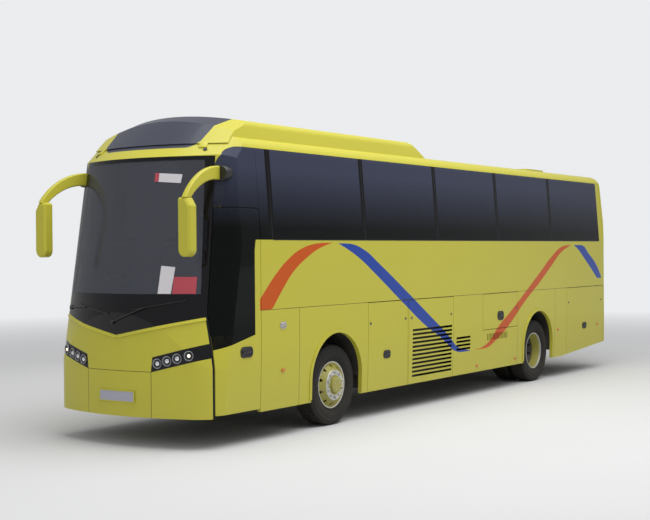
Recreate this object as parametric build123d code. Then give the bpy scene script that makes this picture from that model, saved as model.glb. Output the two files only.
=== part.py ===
# Coach bus: a high-floor two-axle touring coach with its engine under the middle of the floor.
# Row frame: +X forward, +Y to the coach's left, +Z up, origin on the ground below the middle.
# Stations along the body are given as d, the distance behind the front axle. All sizes in mm.
from build123d import *
from math import asin, atan2, cos, degrees, hypot, pi, radians, sin, sqrt, tan
import os

os.makedirs("parts", exist_ok=True)

# Plan of the coach
WHEELBASE = 6100
NOSE = 2700            # nose tip ahead of the front axle
MIRROR_REACH = 2815    # front faces of the mirror heads ahead of the front axle
TAIL = 9130            # rear face behind the front axle
HALF_WIDTH = 1250      # at the waist
SILL_HALF = 1225       # at the bottom of the skirt
CANT_HALF = 1160       # at the edge of the roof
BOW = 285              # bow of the nose in plan
TOP_BOW = 450          # bow of the windscreen, which leans back more at its sides
NOSE_R = 420           # front corner radius
TOP_R = 480            # corner radius of the leaning screen
TAIL_R = 130           # rear corner radius
TAIL_TAPER = 25

# Heights
Z_SKIRT = 348
Z_TAIL_SKIRT = 489
Z_FLARE = 1040
Z_SEAM = 1530          # seam between the locker doors and the waist panels
Z_WINDOW = 2350
Z_WINDOW_TOP = 3420
Z_HEAD = 3455          # joint of side walls and roof
Z_CANT = 3525
Z_ROOF = 3614
Z_POD = 3845
Z_SCREEN_TOP = 3310
CANT_R = 190
RAKE = 320             # lean of the windscreen from foot to top
DOME_LEAN = 48         # lean of the dome above it, in degrees
CROWN_LEAN = 70        # lean of the round at the top of the dome

# Walls, glass and gaps
WALL = 45
SKIN = 6               # bonded side glass
FRONT_SKIN = 10        # windscreen and rear window
FIT = 0.3              # between pieces that seat on each other
GAP = 8                # round a moving panel
BAY_CLEAR = 15         # from a moving panel's inner face to what is behind it

# Front end
Z_V, Z_VEND = 1272, 1530       # point and ends of the V under the windscreen
Z_SPLIT = 863                  # seam between nose panel and bumper
LAMP_Y = 490                   # inner ends of the lamp bands
LAMP_RISE = 190                # how far a lamp band climbs to the corner
LAMP_H = 170

# Stations of the side
D_DOOR0, D_DOOR1 = -2376, -1600
D_REAR = TAIL - 140            # joint of side walls and rear end
D_RISE = WHEELBASE + 990       # where the skirt starts to rise
Z_DOOR0, Z_DOOR1 = 385, 2712
PILLAR_LEAN = 290              # lean of the front pillar from the seam to the roof
D_DOME = -1930                 # joint of the front dome and the roof

# Running gear
TYRE_R, TYRE_W = 510, 290
AXLE_Z = TYRE_R
RIM_R = 298
RIM_W = 228
WHEEL_Y = 1035         # middle plane of the front and the outer rear wheels
OFFSET = 165           # from a wheel's middle plane to its mounting face
DISC_T = 16
KINGPIN = 930          # kingpins from the middle plane of the coach
BEAM = 60              # half size of the front axle beam
SPINDLE_R = 60
AXLE_R = 80            # rear axle tube
ARCH_R = 570
ARCH_RISE = 98         # arch centre above the axle
LINER_T = 18
LIP_W, LIP_T = 45, 12  # rolled edge of an arch

# Floor and frame
FLOOR_Z, FLOOR_T = 1560, 40
CAB_Z = 1150
FRAME_Y, FRAME_W = 430, 80
FRAME_Z0, FRAME_Z1 = 720, 960
CROSS_H = 100
BAY_Z = 400            # underside of the locker floors
PLATE = 20             # bulkheads and locker floors
D_AFT = WHEELBASE - 650        # bulkheads ahead of and behind the rear wheels
D_BACK = WHEELBASE + 600
TOW_D = (-2420, TAIL - 250)    # towing pins
TOW_Z, TOW_T, TOW_R = 520, 35, 20

SHIFT = (TAIL - MIRROR_REACH) / 2


def X(d):
    return SHIFT - d


XN, XT, XR = X(-NOSE), X(TAIL), X(WHEELBASE)
FAR = 1500             # beyond the flanks


# Basic forms
def box(x0, x1, y0, y1, z0, z1):
    mid = Pos((x0 + x1) / 2, (y0 + y1) / 2, (z0 + z1) / 2)
    return mid * Box(abs(x1 - x0), abs(y1 - y0), abs(z1 - z0))


def xz_prism(pts, y0, y1):
    face = make_face(Polyline(*[(x, 0, z) for x, z in pts], close=True))
    return Pos(0, y0, 0) * extrude(face, amount=y1 - y0, dir=(0, 1, 0))


def yz_prism(pts, x0, x1):
    face = make_face(Polyline(*[(0, y, z) for y, z in pts], close=True))
    return Pos(x0, 0, 0) * extrude(face, amount=x1 - x0, dir=(1, 0, 0))


def xy_prism(pts, z0, z1):
    face = make_face(Polyline(*[(x, y, 0) for x, y in pts], close=True))
    return Pos(0, 0, z0) * extrude(face, amount=z1 - z0, dir=(0, 0, 1))


def xcyl(y, z, r, x0, x1):
    return Pos((x0 + x1) / 2, y, z) * Rot(0, 90, 0) * Cylinder(r, abs(x1 - x0))


def ycyl(x, z, r, y0, y1):
    return Pos(x, (y0 + y1) / 2, z) * Rot(90, 0, 0) * Cylinder(r, abs(y1 - y0))


def zcyl(x, y, r, z0, z1):
    return Pos(x, y, (z0 + z1) / 2) * Cylinder(r, abs(z1 - z0))


def rod(a, b, r):
    """A round bar from point a to point b."""
    run = [q - p for p, q in zip(a, b)]
    return extrude(Plane(origin=a, z_dir=tuple(run)) * Circle(r), amount=hypot(*run))


def left_box(d0, d1, z0, z1, y0=850, y1=FAR):
    return box(X(d1), X(d0), y0, y1, z0, z1)


def mirror_y(s):
    return mirror(s, about=Plane.XZ)


def join(items):
    out = items[0]
    for item in items[1:]:
        out = out + item
    return out


def cut(base, *tools):
    for t in tools:
        base = base - t
    return base


def soft_box(x0, x1, y0, y1, z0, z1, r, axis):
    b = box(x0, x1, y0, y1, z0, z1)
    return fillet(b.edges().filter_by(axis), r)


def put(name, *shapes):
    solids = []
    for s in shapes:
        solids.extend(s.solids())
    shape = solids[0] if len(solids) == 1 else Compound(children=solids)
    export_step(shape, "parts/" + name + ".step")


# Body form at a depth i under its surface: the overlap of a cross-section, a side profile and three plans
def section_solid(i):
    w, s, c = HALF_WIDTH - i, SILL_HALF - i, CANT_HALF - i
    zs, zc, zr = Z_SKIRT - 60, Z_CANT - i * 0.4, Z_ROOF - i
    low = Polyline((0, -c, zc), (0, -w, Z_WINDOW), (0, -w, Z_FLARE), (0, -s, zs),
                   (0, s, zs), (0, w, Z_FLARE), (0, w, Z_WINDOW), (0, c, zc))
    top = ThreePointArc((0, c, zc), (0, 0, zr), (0, -c, zc))
    face = make_face([*low.edges(), *top.edges()])
    body = Pos(XT - 50, 0, 0) * extrude(face, amount=XN - XT + 100, dir=(1, 0, 0))
    edges = [e for e in body.edges().filter_by(Axis.X) if abs(e.center().Z - zc) < 2]
    return fillet(edges, CANT_R - i)


def profile_solid(i):
    pts = [(XN + 60, Z_SKIRT - 60), (XN + 60, Z_ROOF + 40), (XT + i + 420, Z_ROOF + 40), (XT + i + 190, Z_ROOF - 40 - i), (XT + i + 110, Z_CANT - 120),
           (XT + i, Z_SEAM + 200), (XT + i, 930), (XT + i + 60, Z_SKIRT - 60)]
    body = xz_prism(pts, -HALF_WIDTH - 50, HALF_WIDTH + 50)
    tail = [e for e in body.edges().filter_by(Axis.Y)
            if e.center().X < 0 and Z_CANT - 140 < e.center().Z < Z_ROOF]
    return fillet(tail, 120)


def bowed(i, spare, z0, z1, bow=BOW, round_r=NOSE_R):
    """A prism with the bow and round corners of the nose; spare keeps its flanks off the body's."""
    w = HALF_WIDTH + spare - i
    xs, xe = XN - i - bow, XT - 900
    nose = ThreePointArc((xs, -w, 0), (XN - i, 0, 0), (xs, w, 0))
    rest = Polyline((xs, w, 0), (xe, w, 0), (xe, -w, 0), (xs, -w, 0))
    face = make_face([*nose.edges(), *rest.edges()])
    body = Pos(0, 0, z0) * extrude(face, amount=z1 - z0, dir=(0, 0, 1))
    corners = [e for e in body.edges().filter_by(Axis.Z) if e.center().X > 0]
    return fillet(corners, round_r - i)


def leaning(i):
    """The same bow leaning back with the windscreen about its foot."""
    angle = degrees(atan2(RAKE, Z_SCREEN_TOP - Z_SEAM))
    screen = bowed(i, 9, -2200, 5600, TOP_BOW, TOP_R)
    return Pos(XN, 0, Z_SEAM) * Rot(0, -angle, 0) * Pos(-XN, 0, 0) * screen


def dome(i, x=XN - RAKE, z=Z_SCREEN_TOP, lean=DOME_LEAN):
    """The bow leaning further back, from a point at the top of the windscreen."""
    return Pos(x, 0, z) * Rot(0, -lean, 0) * Pos(-XN, 0, 0) * bowed(i, 15, -13000, 13000)


def tail_solid(i):
    w = HALF_WIDTH + 6 - i
    xe, xt = XN + 100, XT + i
    pts = [(xe, w), (xt + TAIL_TAPER, w), (xt, 500), (xt, -500), (xt + TAIL_TAPER, -w), (xe, -w)]
    body = xy_prism(pts, Z_SKIRT - 80, Z_ROOF + 120)
    rear = [e for e in body.edges().filter_by(Axis.Z) if e.center().X < 0 and abs(e.center().Y) > w - 5]
    return fillet(rear, TAIL_R - i)


def loaf(i):
    nose = bowed(i, 3, Z_SKIRT - 80, Z_ROOF + 120) & leaning(i)
    return section_solid(i) & profile_solid(i) & nose & dome(i) & tail_solid(i)


DEPTHS = {i: loaf(i) for i in (0, SKIN, FRONT_SKIN, WALL)}
OUTER = DEPTHS[0]
SEATED = loaf(WALL + FIT)          # what stands against the walls inside
CLEAR = loaf(WALL + BAY_CLEAR)     # what stays behind moving panels

# Skirt line: level to behind the rear wheel, then rising to the tail
under = xz_prism([(XN + 50, Z_SKIRT - 90), (XN + 50, Z_SKIRT), (X(D_RISE), Z_SKIRT),
                  (XT - 50, Z_TAIL_SKIRT + 4), (XT - 50, Z_SKIRT - 90)], -FAR, FAR)


def layer(zone, i, j):
    """The part of a zone between two depths below the outer surface."""
    return ((zone & DEPTHS[i]) - DEPTHS[j]) - under


def outside(zone, i):
    """The part of a zone that lies above a depth, for cutting recesses."""
    return zone - DEPTHS[i]


# Hinges: short barrels in the gap of a moving panel, alternate ones on the panel and on the wall
BARREL_R, BARREL_L = 3.6, 45


def barrel(at, axis, toward, offset):
    """One barrel at a point, with the leaf that joins it to the panel on its side."""
    x, y, z = at
    half = BARREL_L / 2
    r, reach = BARREL_R, GAP / 2 + 3
    if axis == "x":
        c = xcyl(y, z, r, x + offset - half, x + offset + half)
        s = 1 if y > 0 else -1
        leaf = box(x + offset - half, x + offset + half, y - 6 * s, y, *sorted((z, z + toward * reach)))
    elif axis == "y":
        c = ycyl(x, z, r, y + offset - half, y + offset + half)
        leaf = box(x, x + 6, y + offset - half, y + offset + half, *sorted((z, z + toward * reach)))
    else:
        c = zcyl(x, y, r, z + offset - half, z + offset + half)
        leaf = box(*sorted((x, x + toward * reach)), y, y + 6, z + offset - half, z + offset + half)
    return c + leaf


def hinge_pair(points, axis, fixed):
    """Barrels for the wall and for the panel; fixed is the wall's side of the gap."""
    step = (BARREL_L + FIT) / 2
    wall = [barrel(p, axis, fixed, step) for p in points]
    panel = [barrel(p, axis, -fixed, -step) for p in points]
    return wall, panel


# Wheel arches
def arch(x):
    zc = AXLE_Z + ARCH_RISE
    return ycyl(x, zc, ARCH_R, 0, FAR) + box(x - ARCH_R, x + ARCH_R, 0, FAR, 200, zc)


arches = [arch(X(0)), arch(XR)]

# Side windows: panes by d at their ends; the holes behind them leave the pillars
PANES = [(D_DOOR1 + 2, -1375), (-1365, 670), (680, 2635), (2645, 4600), (4610, 6640),
         (6650, D_REAR - 185)]
PILLAR = 75


def window_hole(d0, d1, z0=Z_WINDOW + 60, z1=Z_WINDOW_TOP - 60):
    return soft_box(X(d1), X(d0), 950, FAR, z0, z1, 60, Axis.Y)


holes = [window_hole(a + PILLAR, b - PILLAR) for a, b in PANES[1:]]

# Moving panels of the sides: side, name, d0, d1, lower edge
LOW = Z_SKIRT - 150
PANELS = [
    (1, "locker_door_left_front", 728, 1768, LOW),
    (1, "radiator_door_left", 1788, 3098, LOW),
    (1, "service_hatch_left", D_AFT - 1407, D_AFT - 156, 967),
    (1, "locker_door_left_rear", D_BACK + 579, D_REAR - GAP, LOW),
    (-1, "locker_door_right_front", 728, 1768, LOW),
    (-1, "engine_door_right", 1788, 3098, LOW),
    (-1, "locker_door_right_middle", 3118, D_AFT - 156, LOW),
    (-1, "locker_door_right_rear", D_BACK + 579, D_REAR - GAP, LOW),
]
D_ED0, ED_W, Z_ED0, Z_ED1 = 4700, 790, 1612, 3350        # emergency door
D_ED1 = D_ED0 + ED_W
Z_HINGE = Z_SEAM - GAP / 2
Y_HINGE = HALF_WIDTH + 3

# Front boundary of the side walls: upright at the entrance door, leaning above it
pillar_line = [(X(D_DOOR0), 150), (X(D_DOOR0), Z_SEAM), (X(D_DOOR0) - PILLAR_LEAN, Z_HEAD)]
ahead = xz_prism(pillar_line + [(XN + 100, Z_HEAD), (XN + 100, 150)], -FAR, FAR)
behind_pts = [(x - FIT, z) for x, z in pillar_line] + [(X(D_REAR) + FIT, Z_HEAD), (X(D_REAR) + FIT, 150)]
behind_line = xz_prism(behind_pts, 800, FAR)
behind = behind_line & box(XT, XN, 800, FAR, 100, Z_HEAD - FIT)

# Radiator door slots and the two small grilles: d0, d1, lowest slot, pitch, slot height
SLOTS = [("radiator_door_left", 1895, 3050, 440, 58, 32), ("side_wall_left", 3190, 3640, 715, 56, 32)]
SLOTS_N = {"radiator_door_left": 12, "side_wall_left": 4}
VENT = (SLOTS[1][2] + 560, D_AFT - 520, 806, 905)  # upright slats: d0, d1, z0, z1
VENT_N = 15


def slots(name):
    return [left_box(d0, d1, z + k * p, z + k * p + h) for n, d0, d1, z, p, h in SLOTS if n == name
            for k in range(SLOTS_N[name])]




def quarter_light(d1, z0, inset):
    """The front side window: its front edge leans with the pillar and its top front corner is round."""
    lean = PILLAR_LEAN / (Z_HEAD - Z_SEAM)
    low, top = z0 + inset, Z_WINDOW_TOP - inset
    x0, x1 = X(d1) + inset, X(D_DOOR0) - inset - FIT
    pts = [(x0, low), (x1 - lean * (low - Z_SEAM), low), (x1 - lean * (top - Z_SEAM), top), (x0, top)]
    body = xz_prism(pts, 850, FAR)
    corner = [e for e in body.edges().filter_by(Axis.Y) if e.center().Z > top - 1 and e.center().X > x0 + 1]
    return fillet(corner, 260 - inset)


wall_pins = {1: [], -1: []}
panel_pins = {}
for s, name, d0, d1, z0 in PANELS:
    spots = [(X(d), s * Y_HINGE, Z_HINGE) for d in (d0 + 180, d1 - 180)]
    fixed, moving = hinge_pair(spots, "x", 1)
    wall_pins[s] += fixed
    panel_pins[name] = moving

left = behind
for s, name, d0, d1, z0 in PANELS:
    if s > 0:
        left = left - left_box(d0, d1, z0, Z_SEAM)
vent_pitch = (VENT[1] - VENT[0]) / VENT_N
vents = [left_box(VENT[0] + k * vent_pitch, VENT[0] + (k + 0.5) * vent_pitch, VENT[2], VENT[3])
         for k in range(VENT_N)]
left = cut(left, *arches, left_box(D_DOOR0 - 100, D_DOOR1, 100, Z_DOOR1 + GAP), *holes, *slots("side_wall_left"),
           *vents)
left = layer(left, 0, WALL) - outside(left_box(D_DOOR1, D_REAR - FIT, Z_WINDOW, Z_WINDOW_TOP), SKIN)
left = left - layer(quarter_light(D_DOOR1 + 1, Z_DOOR1 + GAP, 0), 0, SKIN)

driver_hole = mirror_y(soft_box(X(-1460), X(-2000), 950, FAR, Z_WINDOW - 560, Z_WINDOW_TOP - 60, 60, Axis.Y))
driver_hole = driver_hole + mirror_y(soft_box(X(-1800), X(-2240), 950, FAR, Z_WINDOW - 560, 3080, 60, Axis.Y))
right = mirror_y(behind)
for s, name, d0, d1, z0 in PANELS:
    if s < 0:
        right = right - mirror_y(left_box(d0, d1, z0, Z_SEAM))
right = cut(right, *[mirror_y(a) for a in arches], *[mirror_y(h) for h in holes],
            mirror_y(left_box(D_ED0, D_ED1, Z_ED0, Z_ED1)))
right = layer(right, 0, WALL)
right = right - outside(mirror_y(left_box(-1380, D_REAR - FIT, Z_WINDOW, Z_WINDOW_TOP)), SKIN)
right = right - layer(mirror_y(quarter_light(-1380, Z_WINDOW - 640, 0)), 0, SKIN) - driver_hole
ed_spots = [(X(D_ED0) - GAP / 2, -Y_HINGE, z) for z in (Z_ED0 + 160, Z_WINDOW - 120)]
ed_fixed, ed_moving = hinge_pair(ed_spots, "z", 1)
put("side_wall_right", join([right] + wall_pins[-1] + ed_fixed))

# Side glass: bonded panes over the pillars
panes = [layer(left_box(a, b, Z_WINDOW + 2, Z_WINDOW_TOP - 2), 0, SKIN) for a, b in PANES]
panes.append(layer(quarter_light(D_DOOR1, Z_DOOR1 + GAP, 2), 0, SKIN))
for a, b in PANES[1:]:
    p = layer(mirror_y(left_box(a, b, Z_WINDOW + 2, Z_WINDOW_TOP - 2)), 0, SKIN)
    panes.append(p - mirror_y(left_box(D_ED0 - 2, D_ED1 + 2, Z_ED0, Z_ED1 + 4)))
panes.append(layer(mirror_y(quarter_light(-1380, Z_WINDOW - 640, 2)), 0, SKIN))
put("side_glass", *panes)

# Moving panels of the sides
for s, name, d0, d1, z0 in PANELS:
    zone = left_box(d0 + GAP, d1 - GAP, z0 if z0 == LOW else z0 + GAP, Z_SEAM - GAP)
    zone = cut(zone, *slots(name))
    p = layer(zone if s > 0 else mirror_y(zone), 0, WALL)
    put(name, join([p] + panel_pins[name]))

ed_zone = left_box(D_ED0 + GAP, D_ED1 - GAP, Z_ED0 + GAP, Z_ED1 - GAP)
ed_pane = left_box(D_ED0 + GAP, D_ED1 - GAP, Z_WINDOW + 2, Z_ED1 - GAP)
ed = layer(mirror_y(ed_zone - window_hole(D_ED0 + 95, D_ED1 - 95, Z_WINDOW + 70, Z_ED1 - 90)), 0, WALL)
ed = ed - mirror_y(outside(ed_pane, SKIN))
put("emergency_door", join([ed] + ed_moving))
put("emergency_door_glass", layer(mirror_y(ed_pane), 0, SKIN))

# Roof, front dome, hatch and pod
HATCH = (TAIL - 1530, TAIL - 780, 330)     # d0, d1, half width
roof_zone = box(XT - 100, X(D_DOME), -FAR, FAR, Z_HEAD, Z_ROOF + 100)
hatch_hole = box(X(HATCH[1]), X(HATCH[0]), -HATCH[2], HATCH[2], Z_HEAD, Z_ROOF + 100)
put("roof_shell", layer(roof_zone - hatch_hole, 0, WALL))
hatch = box(X(HATCH[1]) + FIT, X(HATCH[0]) - FIT, -HATCH[2] + FIT, HATCH[2] - FIT, Z_ROOF - 50, Z_ROOF + 12)
rim_y = HATCH[2] + 25
lid = soft_box(X(HATCH[1] + 25), X(HATCH[0] - 25), -rim_y, rim_y, Z_ROOF + 12, Z_ROOF + 58, 90, Axis.Z)
put("roof_hatch", hatch + lid)
dome_zone = ahead + box(X(D_DOOR0) - PILLAR_LEAN - 600, XN + 100, -FAR, FAR, Z_HEAD, Z_ROOF + 100)
dome_zone = dome_zone & box(X(D_DOME) + FIT, XN + 100, -FAR, FAR, Z_SCREEN_TOP + FIT, Z_ROOF + 100)
put("front_dome", layer(dome_zone, 0, WALL))

# Roof pod: as wide as the roof, its front carries the dome's slope on up to the crown
POD_W, POD_LEAN, POD_T = 1045, 55, 12
Z_SHOULDER = Z_POD - 95
D_POD_END = 2650
run = (Z_POD - 60 - Z_SCREEN_TOP) * tan(radians(DOME_LEAN))
side = Polyline((0, POD_W - POD_LEAN, Z_SHOULDER), (0, POD_W, Z_CANT - 60), (0, -POD_W, Z_CANT - 60),
                (0, -POD_W + POD_LEAN, Z_SHOULDER))
crown = ThreePointArc((0, POD_W - POD_LEAN, Z_SHOULDER), (0, 0, Z_POD), (0, -POD_W + POD_LEAN, Z_SHOULDER))
pod = Pos(X(D_POD_END), 0, 0) * extrude(make_face([*side.edges(), crown]), amount=XN - X(D_POD_END), dir=(1, 0, 0))
pod = fillet([e for e in pod.edges().filter_by(Axis.X) if abs(e.center().Z - Z_SHOULDER) < 2], 110)
pod_side = [(X(D_POD_END), Z_ROOF - 60), (X(D_POD_END - 430), Z_POD - 35), (X(D_POD_END - 900), Z_POD + 2), (XN, Z_POD + 2),
            (XN, Z_SCREEN_TOP + 95), (XN - 560, Z_SCREEN_TOP + 95), (XN - 900, Z_CANT - 60), (X(D_POD_END), Z_CANT - 60)]
pod = pod & xz_prism(pod_side, -FAR, FAR) & dome(-POD_T)
pod = pod & dome(0, XN - RAKE - run, Z_POD - 60, CROWN_LEAN)
put("roof_pod", pod - OUTER)

# Front end: the screen above a shallow V, nose panel, lamp bands and bumper
XF = X(D_DOOR0) + FIT
Y_V = HALF_WIDTH + 50


def front(pts):
    return yz_prism(pts, XF - 700, XN + 100) & ahead


def front_piece(pts):
    return layer(front(pts), 0, WALL)


screen_zone = front([(-Y_V, Z_VEND), (0, Z_V), (Y_V, Z_VEND), (Y_V, Z_SCREEN_TOP), (-Y_V, Z_SCREEN_TOP)])
put("windscreen", layer(screen_zone, 0, FRONT_SKIN))
screen_hole = yz_prism([(-1000, 1740), (1000, 1740), (900, 3235), (-900, 3235)], X(D_DOOR0) - 80, XN + 100)
put("screen_frame", layer(screen_zone - screen_hole, FRONT_SKIN, WALL))
lamp_top, lamp_out = Z_SPLIT + LAMP_H, LAMP_RISE * (Y_V - LAMP_Y) / (HALF_WIDTH - LAMP_Y)
half_nose = [(LAMP_Y - 4, Z_SPLIT), (LAMP_Y + 16, lamp_top), (Y_V, lamp_top + lamp_out), (Y_V, Z_VEND - FIT)]
put("nose_panel", front_piece(half_nose + [(0, Z_V - FIT)] + [(-y, z) for y, z in reversed(half_nose)]))
lamp = [(LAMP_Y - 4 + FIT, Z_SPLIT + FIT), (LAMP_Y + 16 + FIT, lamp_top - FIT), (Y_V, lamp_top + lamp_out - FIT),
        (Y_V, Z_SPLIT + lamp_out + FIT)]
band = front_piece(lamp)
PLAN_R = ((HALF_WIDTH + 3) ** 2 + BOW ** 2) / (2 * BOW)       # of the bow of the nose
Y_CORNER = HALF_WIDTH + 3 - NOSE_R                            # centre of the corner's round
X_CORNER = XN - PLAN_R + sqrt((PLAN_R - NOSE_R) ** 2 - Y_CORNER ** 2)
LENS_R, LENS_IN, LENS_OUT = 52, 32, 6
LENS_YS = (575, 695, 815, 950)
slope = LAMP_RISE / (HALF_WIDTH - LAMP_Y)
lenses = []
for y in LENS_YS:
    on_bow = y < PLAN_R * Y_CORNER / (PLAN_R - NOSE_R)
    turn = asin(y / PLAN_R) if on_bow else asin((y - Y_CORNER) / NOSE_R)
    x = XN - PLAN_R + PLAN_R * cos(turn) if on_bow else X_CORNER + NOSE_R * cos(turn)
    z = Z_SPLIT + LAMP_H / 2 + slope * (y - LAMP_Y) - 4
    a, b = [(x + t * cos(turn), y + t * sin(turn), z) for t in (-LENS_IN, LENS_OUT)]
    band = band - rod(a, (b[0] + 20 * cos(turn), b[1] + 20 * sin(turn), z), LENS_R + FIT)
    lenses.append(rod((a[0] + FIT, a[1] + FIT * sin(turn), z), b, LENS_R))
put("headlamp_units", band, mirror_y(band))
put("headlamp_lenses", *lenses, *[mirror_y(lens) for lens in lenses])
half_bump = [(LAMP_Y - 4, Z_SPLIT - FIT), (Y_V, Z_SPLIT + lamp_out - FIT), (Y_V, 200)]
put("front_bumper", front_piece(half_bump + [(-y, z) for y, z in reversed(half_bump)]))

# Rear end
Z_BUMPER, Z_BOOT, BOOT_Y = 836, 2140, 1000
LAMP_ROW = (1040, 1165, 936, 1976)     # tail lamps: y0, y1, z0, z1
boot_cut = box(XT - 100, XT + 150, -BOOT_Y, BOOT_Y, Z_BUMPER, Z_BOOT)
Z_REAR_TOP = Z_WINDOW_TOP - 90
rear_hole = yz_prism([(-980, Z_WINDOW + 50), (980, Z_WINDOW + 50), (930, Z_REAR_TOP - 50), (-930, Z_REAR_TOP - 50)],
                     XT - 100, XT + 400)
rear_pane = box(XT - 100, XT + 300, -1040, 1040, Z_WINDOW, Z_REAR_TOP)
y0, y1, z0, z1 = LAMP_ROW
tail_cut = box(XT - 100, XT + 150, y0, y1, z0, z1)
rear_zone = box(XT - 100, X(D_REAR), -FAR, FAR, Z_BUMPER + FIT, Z_HEAD - FIT)
rear = layer(cut(rear_zone, rear_hole, boot_cut, tail_cut, mirror_y(tail_cut)), 0, WALL)
x_boot = XT + 110 * (Z_BOOT - Z_SEAM - 200) / (Z_CANT - Z_SEAM - 320) - 3
boot_spots = [(x_boot, y, Z_BOOT - GAP / 2) for y in (-350, 350)]
boot_fixed, boot_moving = hinge_pair(boot_spots, "y", 1)
put("rear_shell", join([rear - outside(rear_pane, FRONT_SKIN)] + boot_fixed))
put("rear_window", layer(box(XT - 100, XT + 300, -1038, 1038, Z_WINDOW + 2, Z_REAR_TOP - 2), 0, FRONT_SKIN))
tail_lamp = box(XT - 100, XT + 150, y0 + FIT, y1 - FIT, z0 + FIT, z1 - FIT)
put("tail_lamps", layer(tail_lamp, 0, WALL), layer(mirror_y(tail_lamp), 0, WALL))
boot = layer(box(XT - 100, XT + 150, -BOOT_Y + GAP, BOOT_Y - GAP, Z_BUMPER + GAP, Z_BOOT - GAP), 0, WALL)
put("boot_lid", join([boot] + boot_moving))
put("rear_bumper", layer(box(XT - 100, X(D_REAR) - FIT, -FAR, FAR, 200, Z_BUMPER), 0, WALL))

# Entrance door: glazed from a slanting edge up, carried by an arm that swings it out and forward
ARM_X, ARM_Y, ARM_L = X(D_DOOR0) - 330, 1025, 395
ARM_ZS = (720, 2330)
POST_R = 22
HINGE_X = ARM_X - ARM_L
rail = box(X(D_DOOR1), X(D_DOOR0), 900, FAR, ARM_ZS[1] - 10, ARM_ZS[1] + 90)
mid_rail = box(X(D_DOOR1), X(D_DOOR0), 900, FAR, 2010, 2070)
DOOR_STILE = 110                       # painted rear edge of the door
d_hole = soft_box(X(D_DOOR1 - DOOR_STILE - 60), X(D_DOOR0 + 85), 950, FAR, 1290, Z_DOOR1 - 75, 50, Axis.Y)
fore = Pos(-GAP, 0, 0) * behind_line
door = left_box(D_DOOR0 + GAP, D_DOOR1 - GAP, Z_DOOR0, Z_DOOR1) & fore
door = layer(door - ((d_hole & Pos(-90, 0, 0) * behind_line) - rail - mid_rail), 0, WALL)
x_pane = X(D_DOOR1) + GAP
pane = xz_prism([(x_pane + DOOR_STILE, 1255), (X(D_DOOR0) - GAP, 1115), (X(D_DOOR0) - GAP, Z_DOOR1), (x_pane, Z_DOOR1),
                 (x_pane, Z_WINDOW), (x_pane + DOOR_STILE - 20, Z_WINDOW), (x_pane + DOOR_STILE, Z_WINDOW - 120)],
                900, FAR)
pane = pane & fore
door = door - outside(pane, SKIN)
for z in ARM_ZS:
    door = door + box(HINGE_X - 25, HINGE_X + 25, ARM_Y - 25, 1210, z + 40 + FIT, z + 60)
put("entrance_door", door)
put("entrance_door_glass", layer(pane, 0, SKIN))
TREAD0 = 420
post_top = Z_DOOR1 + 60
arm = [zcyl(ARM_X, ARM_Y, POST_R, TREAD0 + FIT, post_top - FIT)]
for z in ARM_ZS:
    arm += [box(HINGE_X, ARM_X, ARM_Y - 15, ARM_Y + 15, z, z + 40), zcyl(HINGE_X, ARM_Y, 25, z, z + 40)]
put("door_arm", join(arm))
bearing = box(ARM_X - 35, ARM_X + 35, ARM_Y - 35, 1212, post_top, post_top + 30)
put("side_wall_left", join([left, bearing - outside(bearing, FRONT_SKIN)] + wall_pins[1]))

# Frame: side members, cross members between and outside them, and the bearer under the cab
D_FAN, D_RAD = 1778, 3108                          # bulkheads ahead of and behind the engine
plates = [680, D_FAN, D_RAD, D_AFT, D_BACK]        # bulkheads, d of their middles
crosses = [-1300, 900, WHEELBASE - 2100, WHEELBASE - 1300, WHEELBASE + 1500, TAIL - 530]
D_CAB = -2180
rails = [box(X(D_CAB) - FIT if s < 0 else X(-1440), X(TAIL - 230), s * FRAME_Y - FRAME_W / 2,
             s * FRAME_Y + FRAME_W / 2, FRAME_Z0, FRAME_Z1) for s in (-1, 1)]


def tongue(d, toward):
    """A towing tongue and the upright that carries it."""
    x, inner = X(d), X(d) - toward * 220
    flat = box(*sorted((x + toward * 45, inner)), -50, 50, TOW_Z, TOW_Z + TOW_T) - zcyl(x, 0, TOW_R, 0, 900)
    return flat + box(*sorted((inner, inner - toward * 30)), -50, 50, TOW_Z, FRAME_Z1 - CROSS_H / 2)


in_frame = FRAME_Y - FRAME_W / 2 - FIT
members = []
for d in crosses:
    for y0, y1 in ((-FAR, -in_frame - FRAME_W - 2 * FIT), (-in_frame, in_frame), (in_frame + FRAME_W + 2 * FIT, FAR)):
        piece = box(X(d + 40), X(d - 40), y0, y1, FRAME_Z1 - CROSS_H, FRAME_Z1) & CLEAR
        members.append(piece + tongue(TOW_D[1], -1) if d == crosses[-1] and y0 == -in_frame else piece)
bearer = [box(X(D_CAB), X(D_CAB - 70), -1080, 90, FRAME_Z1 - CROSS_H, FRAME_Z1), tongue(TOW_D[0], 1)]
for y in (-900, -430, 60):
    bearer.append(box(X(D_CAB), X(D_CAB - 70), y - 30, y + 30, FRAME_Z1 - CROSS_H, CAB_Z - FIT))
put("chassis_frame", *rails, *members, join(bearer))

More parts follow.
